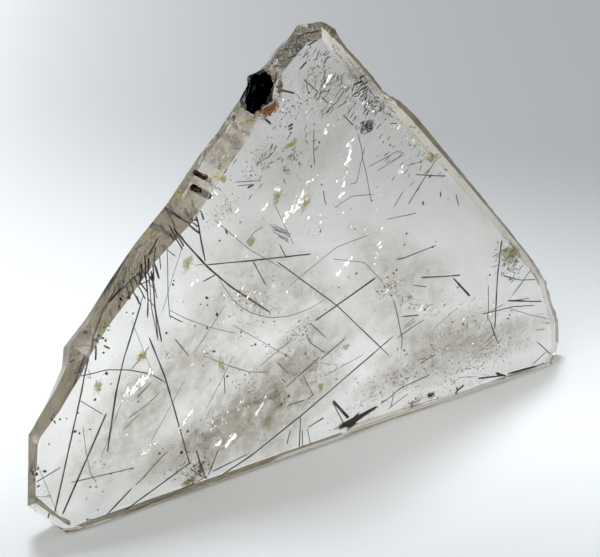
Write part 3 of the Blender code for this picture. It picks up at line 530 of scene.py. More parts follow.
def resample(path, count):
    """Evenly spaced points along a polyline, rounded at its bends by a short average."""
    path = np.asarray(path, float)
    travel = np.concatenate([[0], np.cumsum(np.linalg.norm(np.diff(path, axis=0), axis=1))])
    even = np.linspace(0, travel[-1], count)
    line = np.stack([np.interp(even, travel, path[:, k]) for k in range(2)], axis=-1)
    if len(path) > 2:
        middle = (line[:-2] + 2 * line[1:-1] + line[2:]) / 4
        line = np.concatenate([line[:1], middle, line[-1:]])
    return line


def drawn_in(lines, step=0.6, rim_depth=4.4, foot=15.0):
    """Seen lines; above the foot, those that would lie outside at the rim's depth move to HUB."""
    lines = lines.copy()
    for _ in range(6):
        places = sink(lines, np.full(lines.shape[:2], rim_depth))
        out = (room(places.reshape(-1, 3)).reshape(lines.shape[:2]) < NEEDLE_ROOM).any(axis=1)
        out &= lines[..., 1].mean(axis=1) > foot
        lines[out] += step * unit(HUB - lines[out].mean(axis=1))[:, None]
    return lines


def sunk_paths(paths, points, seed, shallow=1.1, deep=5.6, slant=1.8):
    """Paths sunk to seeded depths that change along each, drawn shallower until they are inside."""
    rng = np.random.default_rng(seed)
    lines = drawn_in(np.array([resample(path, points) for path in paths]))
    ends = rng.uniform(shallow, deep, (len(paths), 2))
    ends[:, 1] = ends[:, 0] + np.clip(ends[:, 1] - ends[:, 0], -slant, slant)
    depths = ends[:, :1] + (ends[:, 1:] - ends[:, :1]) * np.linspace(0, 1, points)
    best = sink(lines, depths)
    settled = np.zeros(len(paths), dtype=bool)
    for share in (1.0, 0.75, 0.55, 0.4, 0.3, 0.22):
        trial = sink(lines, depths * share)
        fits = (room(trial.reshape(-1, 3)).reshape(len(paths), points) > NEEDLE_ROOM).all(axis=1)
        take = fits & ~settled
        best[take] = trial[take]
        settled |= fits
    return best[settled]


def whole_runs(lines, jump=0.28, least_room=0.06, stretch=0.4):
    """Lines parted where one steps aside by a jump, as it must behind the front bevel's edge.

    What would stick out of the plate is left off, and each part is stretched at both ends by a
    share of its last step. Gives the parts, each with as many points as its line had, and each
    part's line number.
    """
    runs, owners = [], []
    points = lines.shape[1]
    for number, line in enumerate(lines):
        move = np.diff(line, axis=0)
        size = np.pad(np.linalg.norm(move[1:-1] - (move[:-2] + move[2:]) / 2, axis=1), 1)
        peak = (size[1:-1] > jump) & (size[1:-1] >= size[:-2]) & (size[1:-1] >= size[2:])
        inside = room(line) > least_room
        for place in np.split(np.arange(points), np.flatnonzero(peak) + 2):
            place = place[inside[place]]
            if len(place) < 3:
                continue
            run = line[place]
            run[0] += (run[0] - run[1]) * stretch
            run[-1] += (run[-1] - run[-2]) * stretch
            old, new = np.arange(len(run)), np.linspace(0, len(run) - 1, points)
            runs.append(np.stack([np.interp(new, old, run[:, k]) for k in range(3)], axis=-1))
            owners.append(number)
    return np.array(runs), np.array(owners)


def rods(name, paths, widths, finish, sides=6, taper=1.0):
    """Thin crystals: a ring of corners carried along each path, narrower at both ends."""
    along = unit(np.gradient(paths, axis=1))
    # the small z keeps the side defined for a rod along y
    side = unit(np.cross(along, (0.0, 1.0, 0.02)))
    over = np.cross(along, side)
    turn = np.arange(sides) * 2 * math.pi / sides
    ends = np.ones(paths.shape[1])
    ends[[0, -1]] = 0.5
    radius = np.asarray(widths, float).reshape(-1, 1) / 2 * taper * ends
    spoke = side[:, :, None] * np.cos(turn)[:, None] + over[:, :, None] * np.sin(turn)[:, None]
    rings = paths[:, :, None] + spoke * radius[..., None, None]
    return closed_bodies(name, rings, paths[:, 0], paths[:, -1], finish)


def turned(count, rng):
    """Seeded turn matrices: two random directions made square to each other, and their cross."""
    first, second = rng.normal(size=(2, count, 3))
    first = unit(first)
    second = unit(second - first * (first * second).sum(1, keepdims=True))
    return np.stack([first, second, np.cross(first, second)], axis=1)


def grains(name, places, sizes, finish, seed, around=5):
    """Small crystals: an uneven ring of corners between two poles, turned every way."""
    rng = np.random.default_rng(seed)
    count = len(places)
    turn = np.arange(around) * 2 * math.pi / around
    ring = np.stack([np.cos(turn), np.sin(turn), np.zeros(around)], axis=-1)
    ring = ring * rng.uniform(0.65, 1.1, (count, around, 1))
    poles = np.array([[0, 0, 0.75], [0, 0, -0.75]])
    shapes = np.concatenate([ring, np.broadcast_to(poles, (count, 2, 3))], axis=1)
    shapes = shapes * rng.uniform(0.6, 1.2, (count, 1, 3)) @ turned(count, rng)
    shapes = places[:, None] + shapes * (np.asarray(sizes).reshape(-1, 1, 1) / 2)
    return closed_bodies(name, shapes[:, None, :around], shapes[:, -2], shapes[:, -1], finish, sharp=10.0)


def drift_places(drifts, seed, shallow=0.9, deep=5.2):
    """Places and sizes of drifting grains: seeded scatter, dense in the middle of each drift."""
    rng = np.random.default_rng(seed)
    seen, sizes, depths = [], [], []
    for centre, half, turn, count, size in drifts:
        spread = np.clip(rng.normal(0, 0.55, (count, 2)), -1.3, 1.3) * half
        level = rng.uniform(shallow, deep)
        seen.append(centre + spread @ turn_rows(turn))
        depths.append(level + spread[:, 0] / half[0] * 0.8 + rng.normal(0, 0.25, count))
        sizes.append(size * rng.lognormal(-0.15, 0.45, count).clip(0.35, 2.0))
    seen, sizes, depths = (np.concatenate(rows) for rows in (seen, sizes, depths))
    places = sink(seen, depths.clip(0.6, 6.4))
    fits = room(places) > GRAIN_ROOM
    return places[fits], sizes[fits]


def listed_places(seen, seed, shallow=0.8, deep=4.2, least_room=0.1):
    """Listed grains at seeded depths, drawn shallower until they are inside."""
    rng = np.random.default_rng(seed)
    seen = np.asarray(seen, float)
    depths = rng.uniform(shallow, deep, len(seen))
    places = sink(seen, depths)
    for share in (0.6, 0.4, 0.25):
        out = room(places) < GRAIN_ROOM
        if out.any():
            places[out] = sink(seen[out], depths[out] * share)
    return places[room(places) > least_room]


def set_inputs(tree, node, inputs):
    """Gives a node's inputs their values, or links them from the output sockets that are given."""
    for key, value in inputs.items():
        if isinstance(value, bpy.types.NodeSocket):
            tree.links.new(value, node.inputs[key])
        else:
            node.inputs[key].default_value = value


def add_node(tree, kind, inputs=None, **settings):
    """Adds a node with its settings, and with its inputs' values or links."""
    node = tree.nodes.new(kind)
    for key, value in settings.items():
        setattr(node, key, value)
    set_inputs(tree, node, inputs or {})
    return node


def new_material(name, colour, roughness, index=1.5, **sockets):
    """A material whose Principled shader has these values; returns it, its tree and the shader."""
    finish = bpy.data.materials.new(name)
    finish.use_nodes = True
    tree = finish.node_tree
    shader = tree.nodes["Principled BSDF"]
    named = {key.replace("_", " "): value for key, value in sockets.items()}
    set_inputs(tree, shader, {
        "Base Color": (*colour, 1.0), "Roughness": roughness, "IOR": index, **named,
    })
    return finish, tree, shader


def object_coordinates(tree, scale=(1.0, 1.0, 1.0), rotation=(0.0, 0.0, 0.0)):
    """Object coordinates in metres, stretched and turned for a pattern."""
    place = add_node(tree, "ShaderNodeTexCoord")
    mapped = add_node(tree, "ShaderNodeMapping", {
        "Vector": place.outputs["Object"], "Scale": scale, "Rotation": rotation,
    })
    return mapped.outputs["Vector"]


def quartz_material(looks):
    """Natural quartz, grown faces: glass-clear, with faint growth ripples and a slight warm cast.

    Its bevels are a touch rougher and tinted by iron, which makes them read as tan bands.
    """
    finish, tree, shader = new_material(
        "natural_quartz_grown_faces", tuple(looks.quartz_colour), looks.quartz_roughness,
        QUARTZ_INDEX, Transmission_Weight=1.0,
    )
    share = add_node(tree, "ShaderNodeAttribute", attribute_name="bevel").outputs["Fac"]
    # patches of stain 4 mm across
    stain = add_node(tree, "ShaderNodeTexNoise", {
        "Vector": object_coordinates(tree), "Scale": 250.0, "Detail": 3.0,
    })
    amount = add_node(tree, "ShaderNodeMath", {0: share, 1: stain.outputs["Fac"]}, operation="MULTIPLY")
    tint = add_node(tree, "ShaderNodeMix", {
        "Factor": amount.outputs[0], "A": (*looks.quartz_colour, 1.0), "B": (*looks.bevel_colour, 1.0),
    }, data_type="RGBA")
    # the right slope's front bevel carries more iron
    iron = add_node(tree, "ShaderNodeMix", {
        "Factor": add_node(tree, "ShaderNodeAttribute", attribute_name="stained").outputs["Fac"],
        "A": tint.outputs["Result"], "B": (*looks.stain_colour, 1.0),
    }, data_type="RGBA")
    frost = add_node(tree, "ShaderNodeMapRange", {
        "Value": share, "To Min": looks.quartz_roughness, "To Max": looks.bevel_roughness,
    })
    # growth ripples about 5 mm apart, and fine unevenness
    ripples = add_node(tree, "ShaderNodeTexWave", {
        "Vector": object_coordinates(tree, rotation=(0.0, 0.75, 0.0)), "Scale": 65.0,
        "Distortion": 3.0, "Detail": 2.0, "Detail Scale": 1.2,
    }, wave_type="BANDS", bands_direction="X")
    uneven = add_node(tree, "ShaderNodeTexNoise", {
        "Vector": object_coordinates(tree), "Scale": 700.0, "Detail": 4.0,
    })
    height = add_node(tree, "ShaderNodeMath", {
        0: uneven.outputs["Fac"], 1: 0.35, 2: ripples.outputs["Fac"],
    }, operation="MULTIPLY_ADD")
    bump = add_node(tree, "ShaderNodeBump", {
        "Height": height.outputs[0], "Strength": 0.10, "Distance": 0.00006,
    })
    set_inputs(tree, shader, {
        "Base Color": iron.outputs["Result"], "Roughness": frost.outputs["Result"],
        "Normal": bump.outputs["Normal"],
    })
    depth = add_node(tree, "ShaderNodeVolumeAbsorption", {
        "Color": (*looks.depth_colour, 1.0), "Density": looks.depth_density,
    })
    set_inputs(tree, tree.nodes["Material Output"], {"Volume": depth.outputs["Volume"]})
    return finish


def schorl_material(name, colour, roughness, axis_turn):
    """Schorl, grown: glassy black tourmaline, striated at about 0.3 mm, mostly along the turned y.

    Inside quartz, whose index is near its own, it mirrors little, so that it reads as black.
    """
    finish, tree, shader = new_material(name, colour, roughness, SCHORL_INDEX, Specular_IOR_Level=0.22)
    lines = add_node(tree, "ShaderNodeTexNoise", {
        "Vector": object_coordinates(tree, (1.0, 0.06, 1.0), axis_turn), "Scale": 3200.0, "Detail": 4.0,
    })
    shade = add_node(tree, "ShaderNodeValToRGB", {"Fac": lines.outputs["Fac"]})
    shade.color_ramp.elements[0].color = (*(0.5 * np.array(colour)), 1.0)
    shade.color_ramp.elements[1].color = (*(1.8 * np.array(colour)), 1.0)
    bump = add_node(tree, "ShaderNodeBump", {
        "Height": lines.outputs["Fac"], "Strength": 0.5, "Distance": 0.00008,
    })
    set_inputs(tree, shader, {"Base Color": shade.outputs["Color"], "Normal": bump.outputs["Normal"]})
    return finish


def mineral_material(name, colour, darker, roughness, index=1.5, **sockets):
    """A stained or powdery mineral: colour changes from grain to grain, in patches 0.3 mm across."""
    finish, tree, shader = new_material(name, colour, roughness, index, **sockets)
    patches = add_node(tree, "ShaderNodeTexNoise", {
        "Vector": object_coordinates(tree), "Scale": 3300.0, "Detail": 1.0,
    })
    mixed = add_node(tree, "ShaderNodeMix", {
        "Factor": patches.outputs["Fac"], "A": (*darker, 1.0), "B": (*colour, 1.0),
    }, data_type="RGBA")
    set_inputs(tree, shader, {"Base Color": mixed.outputs["Result"]})
    return finish


def veil_material(name, colour, clot_size, thinnest, thickest):
    """A healed crack: bubbles far finer than a pixel, drawn as clots of a size in mm in clear quartz.

    How thick they lie comes from the mesh, times a share between thinnest and thickest.
    """
    finish, tree, shader = new_material(name, colour, 0.8, QUARTZ_INDEX)
    cloud = add_node(tree, "ShaderNodeTexNoise", {
        "Vector": object_coordinates(tree), "Scale": 1000.0 / clot_size, "Detail": 7.0,
        "Roughness": 0.62,
    })
    thick = add_node(tree, "ShaderNodeAttribute", attribute_name="thick").outputs["Fac"]
    clots = add_node(tree, "ShaderNodeMapRange", {
        "Value": cloud.outputs["Fac"], "From Min": 0.38, "From Max": 0.68,
        "To Min": thinnest, "To Max": thickest,
    })
    alpha = add_node(tree, "ShaderNodeMath", {0: clots.outputs["Result"], 1: thick}, operation="MULTIPLY")
    set_inputs(tree, shader, {"Alpha": alpha.outputs[0]})
    return finish


def columns(spacing):
    """Front, rim, heel and back rings sampled at a spacing along the rim."""
    lengths = np.linalg.norm(np.roll(CORNERS[1], -1, axis=0) - CORNERS[1], axis=1)
    counts = np.maximum(3, np.round(lengths / spacing)).astype(int)
    start = np.repeat(np.arange(len(counts)), counts)
    share = np.concatenate([np.arange(n) / n for n in counts])[:, None]
    return CORNERS[:, start] * (1 - share) + CORNERS[:, (start + 1) % len(counts)] * share


def inward_of(rim):
    """Directions in the plate's plane, square to the rim and into the plate."""
    step = np.roll(rim, -1, axis=0) - np.roll(rim, 1, axis=0)
    return unit(np.stack([step[:, 2], np.zeros(len(rim)), -step[:, 0]], axis=1))


def quartz_rings(spacing):
    """The plate as rings x columns: each column runs from the front hub over the front ring,
    the bevel, the ridge or standing flat and the back bevel to the back hub.

    Columns stand a spacing apart along the rim. Rings next to an edge lie EDGE_WEAR from it, and
    the edge's own ring is the mean of its corner and of the middle between these two, which
    rounds it. Gives the rings, how much of a bevel each is, and the rim.
    """
    front, rim, heel, back = columns(spacing)
    hub_front = np.broadcast_to((HUB[0], FRONT_Y, HUB[1]), front.shape)
    hub_back = np.broadcast_to((HUB[0], BACK_Y, HUB[1]), front.shape)
    stations = [hub_front, front, rim, heel, back, hub_back]
    rows, bevel = [], []

    def toward(a, b):
        """Places EDGE_WEAR from a on the way to b, or nearer where the way is short."""
        way = b - a
        size = np.linalg.norm(way, axis=1, keepdims=True)
        return a + way / size * np.minimum(EDGE_WEAR, size * 0.3)

    # shares of the way from each station to the next at which a ring lies
    slope = (0.12, 0.25, 0.4, 0.55, 0.7, 0.85)
    plans = [(0.35, 0.65, 0.85, 0.95), slope, (0.5,), slope, (0.05, 0.15, 0.35, 0.65)]
    for k, plan in enumerate(plans):
        a, b = stations[k], stations[k + 1]
        on_bevel = float(k in (1, 2, 3))
        if k:
            before = toward(a, stations[k - 1])
            after = toward(a, b)
            rows.append((before + after + 2 * a) / 4)
            rows.append(after)
            bevel += [0.5, on_bevel]
        for part in plan:
            rows.append(a + (b - a) * part)
            bevel.append(on_bevel)
        if k < len(plans) - 1:
            rows.append(toward(b, a))
            bevel.append(on_bevel)
    return np.array(rows), np.array(bevel), rim


def chip_depth(places, rim, seed, chips=110):
    """Scallops along the rim: each a shallow ball cut, deep where the rim is broken."""
    rng = np.random.default_rng(seed)
    standing = rim[:, 2] < 0.01
    picks = rng.choice(np.flatnonzero(~standing), chips, replace=False)
    middles = rim[picks]
    reach = rng.uniform(0.3, 1.1, len(picks))
    cut = rng.uniform(0.02, 0.16, len(picks)) * reach
    for centre, size, deep in BROKEN:
        near = np.linalg.norm(middles[:, [0, 2]] - centre, axis=1) < size
        cut = np.where(near, cut + deep * 0.6, cut)
        reach = np.where(near, reach * 1.4, reach)
    flat = places.reshape(-1, 3)
    dent = np.zeros(len(flat))
    for middle, size, deep in zip(middles, reach, cut):
        close = 1 - ((flat - middle) ** 2).sum(1) / size**2
        dent = np.maximum(dent, deep * np.sqrt(close.clip(0)))
    return dent.reshape(places.shape[:-1])


def worn_quartz(spacing, ripple, seed, step_depth=0.02):
    """The plate's rings with chips, broken places, growth steps and a swell, all pressed inwards."""
    rows, bevel, rim = quartz_rings(spacing)
    depth = chip_depth(rows, rim, seed)
    facets = np.abs(waves(rows, count=9, shortest=1.2, longest=3.6, seed=seed + 7)).clip(0, 1.4)
    for centre, size, deep in BROKEN:
        near = np.exp(-((rows[..., [0, 2]] - centre) ** 2).sum(-1) / size**2)
        depth = depth + deep * near * facets * (bevel > 0)[:, None]
    # growth steps, long across the plate, on the bevels above the foot
    steps = waves(rows * (1.0, 0.3, 1.0), count=7, shortest=2.5, longest=9.0, seed=seed + 3)
    on_slope = (bevel == 1.0)[:, None] * (rows[..., 2] > 0.4)
    depth = depth + step_depth * np.abs(steps).clip(0, 1.5) * on_slope
    # the flat that it stands on stays as it is
    rows = rows + inward_of(rim) * depth[..., None] * (rows[..., 2:3] > 0.05)
    swell = waves(rows, count=12, shortest=9.0, longest=30.0, seed=seed + 5)
    swell = 0.5 + 0.5 * np.clip(swell, -1, 1)
    for y, way in ((FRONT_Y, 1), (BACK_Y, -1)):
        rows[..., 1] += way * (np.abs(rows[..., 1] - y) < 0.02) * ripple * swell
    return rows, bevel


def add_quartz(looks):
    """One clear piece for the two CAD halves."""
    rows, bevel = worn_quartz(looks.column_spacing / MM, looks.face_ripple / MM, seed=11)
    heads = np.array([(HUB[0], FRONT_Y + 0.02, HUB[1])])
    tails = np.array([(HUB[0], BACK_Y - 0.02, HUB[1])])
    piece = closed_bodies("quartz_clear", rows[None], heads, tails, quartz_material(looks), sharp=24.0)
    x, y, z = np.moveaxis(rows, -1, 0)
    # the lowest 3.4 mm of the bevels are clearer, and the right slope's front bevel holds the iron
    clearer = bevel[:, None] * np.where(z < 3.4, 0.3, 1.0)
    iron = (bevel == 1.0)[:, None] * (y < -0.6) * (z > 2.0) * ((x + 3) / 4).clip(0, 1)
    for key, share in (("bevel", clearer), ("stained", iron)):
        mark(piece, key, np.append(share, [0.0, 0.0]))
    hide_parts("quartz_front_half", "quartz_back_half")


def add_big_schorl(finish):
    """Lumpy block: rings from the front outline to the back one, dented by folded waves."""
    around, stack, dome = 120, 26, 0.5
    ends = []
    for outline in (BIG_FRONT, BIG_BACK):
        loop = np.array(outline + outline[:1])
        corner = np.arange(len(loop))
        travel = np.linspace(0, len(outline), around, endpoint=False)
        ends.append(np.stack([np.interp(travel, corner, loop[:, k]) for k in range(2)], axis=-1))
    share = np.linspace(0, 1, stack)[:, None, None]
    flat = ends[0] * (1 - share) + ends[1] * share
    middle = flat.mean(axis=1, keepdims=True)
    y = BIG_FRONT_Y + dome + (BIG_BACK_Y - BIG_FRONT_Y - 2 * dome) * share
    rings = np.concatenate([flat[..., :1], np.broadcast_to(y, flat[..., :1].shape), flat[..., 1:]], axis=-1)
    hub = np.concatenate([middle[..., :1], y, middle[..., 1:]], axis=-1)
    domes = []
    for end, way in ((0, -1.0), (-1, 1.0)):
        for width, rise in ((0.93, 0.16), (0.78, 0.32), (0.5, 0.43), (0.22, 0.48)):
            domes.append(hub[end] + (rings[end] - hub[end]) * width + (0.0, way * rise, 0.0))
    rings = np.concatenate([domes[3::-1], rings, domes[4:]])
    lumps = waves(rings, count=10, shortest=1.6, longest=4.5, seed=21)
    ribs = waves(rings * (1.0, 0.25, 1.0), count=10, shortest=0.35, longest=0.9, seed=22)
    lumps, ribs = np.abs(lumps).clip(0, 1.6), np.abs(ribs).clip(0, 1.6)
    lump_depth, rib_depth = 0.34, 0.07
    outward = unit(rings - rings.mean(axis=(0, 1)))
    rings = rings + outward * (lump_depth * (1 - lumps) - rib_depth * ribs)[..., None]
    poles = rings[[0, -1]].mean(axis=1)
    piece = closed_bodies("schorl_block", rings[None], poles[:1], poles[1:], finish, sharp=16.0)
    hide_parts("schorl_big")


def add_needles(finish):
    """The single needles, finer than their solids, each a little uneven in width."""
    points = 60
    lines = drawn_in(np.array([resample(seen, points) for _, _, seen in NEEDLES]))
    depths = np.array([ends for _, ends, _ in NEEDLES])
    depths = depths[:, :1] + (depths[:, 1:] - depths[:, :1]) * np.linspace(0, 1, points)
    runs, owners = whole_runs(sink(lines, depths))
    widths = np.array([width for width, _, _ in NEEDLES])[owners] * NEEDLE_SHARE
    taper = 1 + 0.10 * waves(runs, count=5, shortest=1.5, longest=6.0, seed=81)
    piece = rods("schorl_needles", runs, widths, finish, taper=taper)
    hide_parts(*(f"schorl_needle_{number:02d}" for number in range(1, len(NEEDLES) + 1)))


def add_bar(finish):
    """The bar: a sheaf of fibres along its axis, frayed at the thick left end."""
    rng = np.random.default_rng(85)
    start, end = (sink(np.array(spot[:2]), np.array(spot[2])) for spot in BAR)
    fibres, points = 26, 8
    offsets = rng.normal(0, 0.30, (fibres, 1, 3)) * np.linspace(1.25, 0.25, points)[:, None]
    first, last = rng.uniform(-0.03, 0.25, (fibres, 1)), rng.uniform(0.62, 1.02, (fibres, 1))
    share = (first + (last - first) * np.linspace(0, 1, points))[..., None]
    paths = start + (end - start) * share + offsets
    piece = rods("schorl_bar_fibres", paths, rng.uniform(0.22, 0.42, fibres), finish)
    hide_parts("schorl_bar")


def add_lumps(finish):
    """Two clusters of grains about the places of their solids, crowded at the middle."""
    rng = np.random.default_rng(86)
    for name, count, spread, size in (
        ("schorl_lump_base", 60, (0.50, 0.45, 0.26), 0.50),
        ("schorl_lump_tip", 330, (0.88, 0.6, 0.70), 0.36),
    ):
        low, high = (np.array(corner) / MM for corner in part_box(name))
        middle = (low + high) / 2 - SHIFT
        places = middle + rng.normal(0, 1, (count, 3)).clip(-1.7, 1.7) * spread
        sizes = size * rng.uniform(0.5, 1.25, count)
        piece = grains(name + "_grains", places, sizes, finish, seed=87)
        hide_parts(name)


def add_twin_prisms(finish):
    """Stout prisms: a nine-cornered striated ring carried along each axis, with broken ends."""
    stack, around, corners, ribs = 14, 36, 9, 22
    turn = np.arange(around) * 2 * math.pi / around
    shape = 1 - 0.05 * np.abs(np.sin(turn * corners / 2)) - 0.03 * np.abs(np.sin(turn * ribs / 2))
    for name, width, start, end in TWIN_PRISMS:
        a, b = (np.array([x, y, z]) for x, z, y in (start, end))
        path = a + (b - a) * np.linspace(0, 1, stack)[:, None]
        along = unit(b - a)
        side = unit(np.cross(along, (0.0, 0.0, 1.0)))
        over = np.cross(along, side)
        spoke = (side * np.cos(turn)[:, None] + over * np.sin(turn)[:, None]) * shape[:, None]
        radius = np.full((stack, 1, 1), width / 2)
        radius[0], radius[-1] = radius[0] * 0.7, radius[-1] * 0.8
        rings = path[:, None] + spoke * radius
        bites = np.abs(waves(rings, count=8, shortest=0.6, longest=1.8, seed=31)).clip(0, 1.4)
        rings = rings - spoke * 0.12 * bites[..., None]
        piece = closed_bodies(name + "_striated", rings[None], path[:1], path[-1:], finish, sharp=20.0)
        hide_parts(name)


def add_sheet(name, places, thick, finish):
    """An open sheet inside the quartz: rows x columns of places, closed across the columns."""
    rows, around, _ = places.shape
    faces = quad_rows(rows, around).reshape(-1, 4)
    flat = places.reshape(-1, 3)
    faces = faces[(room(flat) > GRAIN_ROOM)[faces].all(axis=1)]
    used, faces = np.unique(faces, return_inverse=True)
    piece = add_mesh(name, flat[used], faces.reshape(-1, 4).tolist(), finish)
    mark(piece, "thick", np.broadcast_to(thick, (rows, around)).reshape(-1)[used])
    piece.data.shade_smooth()


def add_veil(name, centre, half, turn, depth, strength, finish):
    """A healed crack: an oval of rings round its centre, with a wavy edge and waves in depth."""
    rings, around = 18, 64
    reach = np.linspace(0.02, 1, rings)[:, None]
    way = np.linspace(0, 2 * math.pi, around, endpoint=False)
    edge = 1 + 0.18 * np.sin(3 * way + turn) + 0.10 * np.sin(7 * way)
    u, v = reach * np.cos(way) * edge * half[0], reach * np.sin(way) * edge * half[1]
    seen = centre + np.stack([u, v], axis=-1) @ turn_rows(turn)
    deep = depth + 0.6 * np.sin(u / 6.0) + 0.4 * np.cos(v / 4.0)
    thick = 1.3 * strength * (1 - reach**2)
    add_sheet("veil_" + name, sink(seen, deep.clip(0.8, 6.2)), thick, finish)


def add_haze(name, y, strength, finish):
    """Faint haze: the outline at a y, drawn in by 0.7 mm and shrunk in rings towards the hub."""
    rings = columns(spacing=2.0)
    edge = outline_at([y], rings)[0] + inward_of(rings[1]) * 0.7
    share = np.array([1.0, 0.97, 0.9, 0.8, 0.65, 0.5, 0.35, 0.2, 0.1, 0.04])[:, None, None]
    hub = np.array([HUB[0], y, HUB[1]])
    places = hub + (edge - hub) * share
    places[..., 1] += 0.35 * waves(places, count=8, shortest=12.0, longest=40.0, seed=71)
    add_sheet(name, places, strength, finish)


def slanting(rng, middles, slant, spread, shares, length):
    """Short lines about their middles: slant in degrees, its spread, and shares of a length."""
    angles = math.radians(slant) + rng.normal(0, spread, len(middles))
    arms = np.stack([np.cos(angles), np.sin(angles)], axis=-1)
    arms = arms * rng.uniform(*shares, (len(middles), 1)) * length
    return np.stack([middles - arms, middles + arms], axis=1)


def flake_places(seed):
    """Slivers along each run: seeded places, lengths and a common slant up to the right."""
    rng = np.random.default_rng(seed)
    paths, widths = [], []
    for first, last, spread, count, length in FLAKE_RUNS:
        share = rng.uniform(0, 1, (count, 1))
        run = np.array(last) - first
        across = unit(np.array([-run[1], run[0]]))
        middles = first + run * share + across * rng.normal(0, spread * 0.5, (count, 1))
        paths.append(slanting(rng, middles, 52, 0.25, (0.3, 1.0), length * 0.65))
        widths.append(rng.uniform(0.22, 0.62, count) * min(1.0, length))
    return np.concatenate(paths), np.concatenate(widths)


def add_flakes(finish, seed, least_room=0.2):
    """Thin bright cracks: flat slivers with six corners, tilted to catch the light."""
    rng = np.random.default_rng(seed)
    paths, widths = flake_places(seed)
    ends = sink(paths, rng.uniform(1.0, 4.0, (len(paths), 1)))
    keep = (room(ends.reshape(-1, 3)).reshape(-1, 2) > least_room).all(axis=1)
    ends, widths = ends[keep], widths[keep]
    along = ends[:, 1] - ends[:, 0]
    length = np.linalg.norm(along, axis=1, keepdims=True)
    over = unit(FLAKE_FACING + rng.normal(0, 0.045, (len(ends), 3)))
    along = unit(along - over * (along * over).sum(1, keepdims=True))
    side = np.cross(along, over)
    turn = np.arange(6) * math.pi / 3
    middle = ends.mean(axis=1)
    spoke = along[:, None] * (np.cos(turn)[:, None] * length[:, None] / 2)
    spoke = spoke + side[:, None] * (np.sin(turn)[:, None] * widths[:, None, None] / 2)
    rings = middle[:, None] + spoke * rng.uniform(0.7, 1.1, (len(ends), 6, 1))
    lift = over * 0.006
    heads, tails = middle + lift, middle - lift
    piece = closed_bodies("quartz_bright_cracks", rings[:, None], heads, tails, finish, sharp=5.0)


def dash_paths(seed):
    """Short dashes: seeded places in ovals, most of them slanting up to the right."""
    rng = np.random.default_rng(seed)
    paths = []
    for centre, half, turn, count, length in DASHES:
        spread = rng.normal(0, 0.5, (count, 2)).clip(-1.2, 1.2) * half
        middles = centre + spread @ turn_rows(turn)
        paths.append(slanting(rng, middles, 45, 0.35, (0.25, 0.7), length))
    return np.concatenate(paths)


def bundle_paths(seed):
    """The grey bundle: needles shared out between its marked ones, slightly fanned."""
    rng = np.random.default_rng(seed)
    marked = np.array(BUNDLE)
    place = rng.uniform(0.6, len(BUNDLE) - 1, BUNDLE_COUNT)
    low = np.floor(place).astype(int).clip(0, len(BUNDLE) - 2)
    share = (place - low)[:, None, None]
    return marked[low] * (1 - share) + marked[low + 1] * share + rng.normal(0, 0.35, (BUNDLE_COUNT, 2, 2))


class QuartzLooks(bpy.types.PropertyGroup):
    """Sizes and colours of the clear plate and of what is in it."""

    quartz_colour: bpy.props.FloatVectorProperty(
        name="Quartz colour", description="Tint of the grown faces", subtype="COLOR",
        size=3, min=0.0, max=1.0, default=linear("#fcfbf8"))
    bevel_colour: bpy.props.FloatVectorProperty(
        name="Bevel colour", description="Tint of the stained bevels", subtype="COLOR",
        size=3, min=0.0, max=1.0, default=linear("#f8eee8"))
    stain_colour: bpy.props.FloatVectorProperty(
        name="Stain colour", description="Tint of the right slope's iron-stained bevel",
        subtype="COLOR", size=3, min=0.0, max=1.0, default=linear("#c2b6a4"))
    depth_colour: bpy.props.FloatVectorProperty(
        name="Depth colour", description="Colour that light takes on inside the quartz",
        subtype="COLOR", size=3, min=0.0, max=1.0, default=linear("#f0efe6"))
    depth_density: bpy.props.FloatProperty(
        name="Depth density", description="How quickly the quartz takes light away, per metre",
        min=0.0, default=6.0)
    quartz_roughness: bpy.props.FloatProperty(
        name="Face roughness", description="Roughness of the grown faces", min=0.0, max=1.0, default=0.01)
    bevel_roughness: bpy.props.FloatProperty(
        name="Bevel roughness", description="Roughness of the bevels", min=0.0, max=1.0, default=0.02)
    column_spacing: bpy.props.FloatProperty(
        name="Column spacing", description="Distance between the plate's columns along its rim",
        subtype="DISTANCE", unit="LENGTH", min=0.0002, default=0.0004)
    face_ripple: bpy.props.FloatProperty(
        name="Face ripple", description="Height of the slow swell on the broad faces",
        subtype="DISTANCE", unit="LENGTH", min=0.0, default=0.00004)


class NeedleLooks(bpy.types.PropertyGroup):
    """Sizes and colours of the schorl and the small inclusions."""

    schorl_colour: bpy.props.FloatVectorProperty(
        name="Schorl colour", description="Black tourmaline", subtype="COLOR",
        size=3, min=0.0, max=1.0, default=linear("#0d0d0c"))
    brown_colour: bpy.props.FloatVectorProperty(
        name="Brown schorl colour", description="Tourmaline of the two stout prisms",
        subtype="COLOR", size=3, min=0.0, max=1.0, default=linear("#2e221f"))
    bold_width: bpy.props.FloatProperty(
        name="Bold needle width", description="Across the short bold needles",
        subtype="DISTANCE", unit="LENGTH", min=0.0, default=0.00042)
    thin_width: bpy.props.FloatProperty(
        name="Thin needle width", description="Across the thin needles",
        subtype="DISTANCE", unit="LENGTH", min=0.0, default=0.00021)
    hair_width: bpy.props.FloatProperty(
        name="Hair width", description="Across the finest needles",
        subtype="DISTANCE", unit="LENGTH", min=0.0, default=0.00013)
    grain_size: bpy.props.FloatProperty(
        name="Grain size", description="Across the listed grains",
        subtype="DISTANCE", unit="LENGTH", min=0.0, default=0.00068)


class QUARTZ_OT_clear_plate(bpy.types.Operator):
    """The clear quartz plate, one piece over the two CAD halves"""

    bl_idname = "quartz.clear_plate"
    bl_label = "Clear plate"

    def execute(self, context):
        add_quartz(context.scene.quartz_looks)
        return {"FINISHED"}


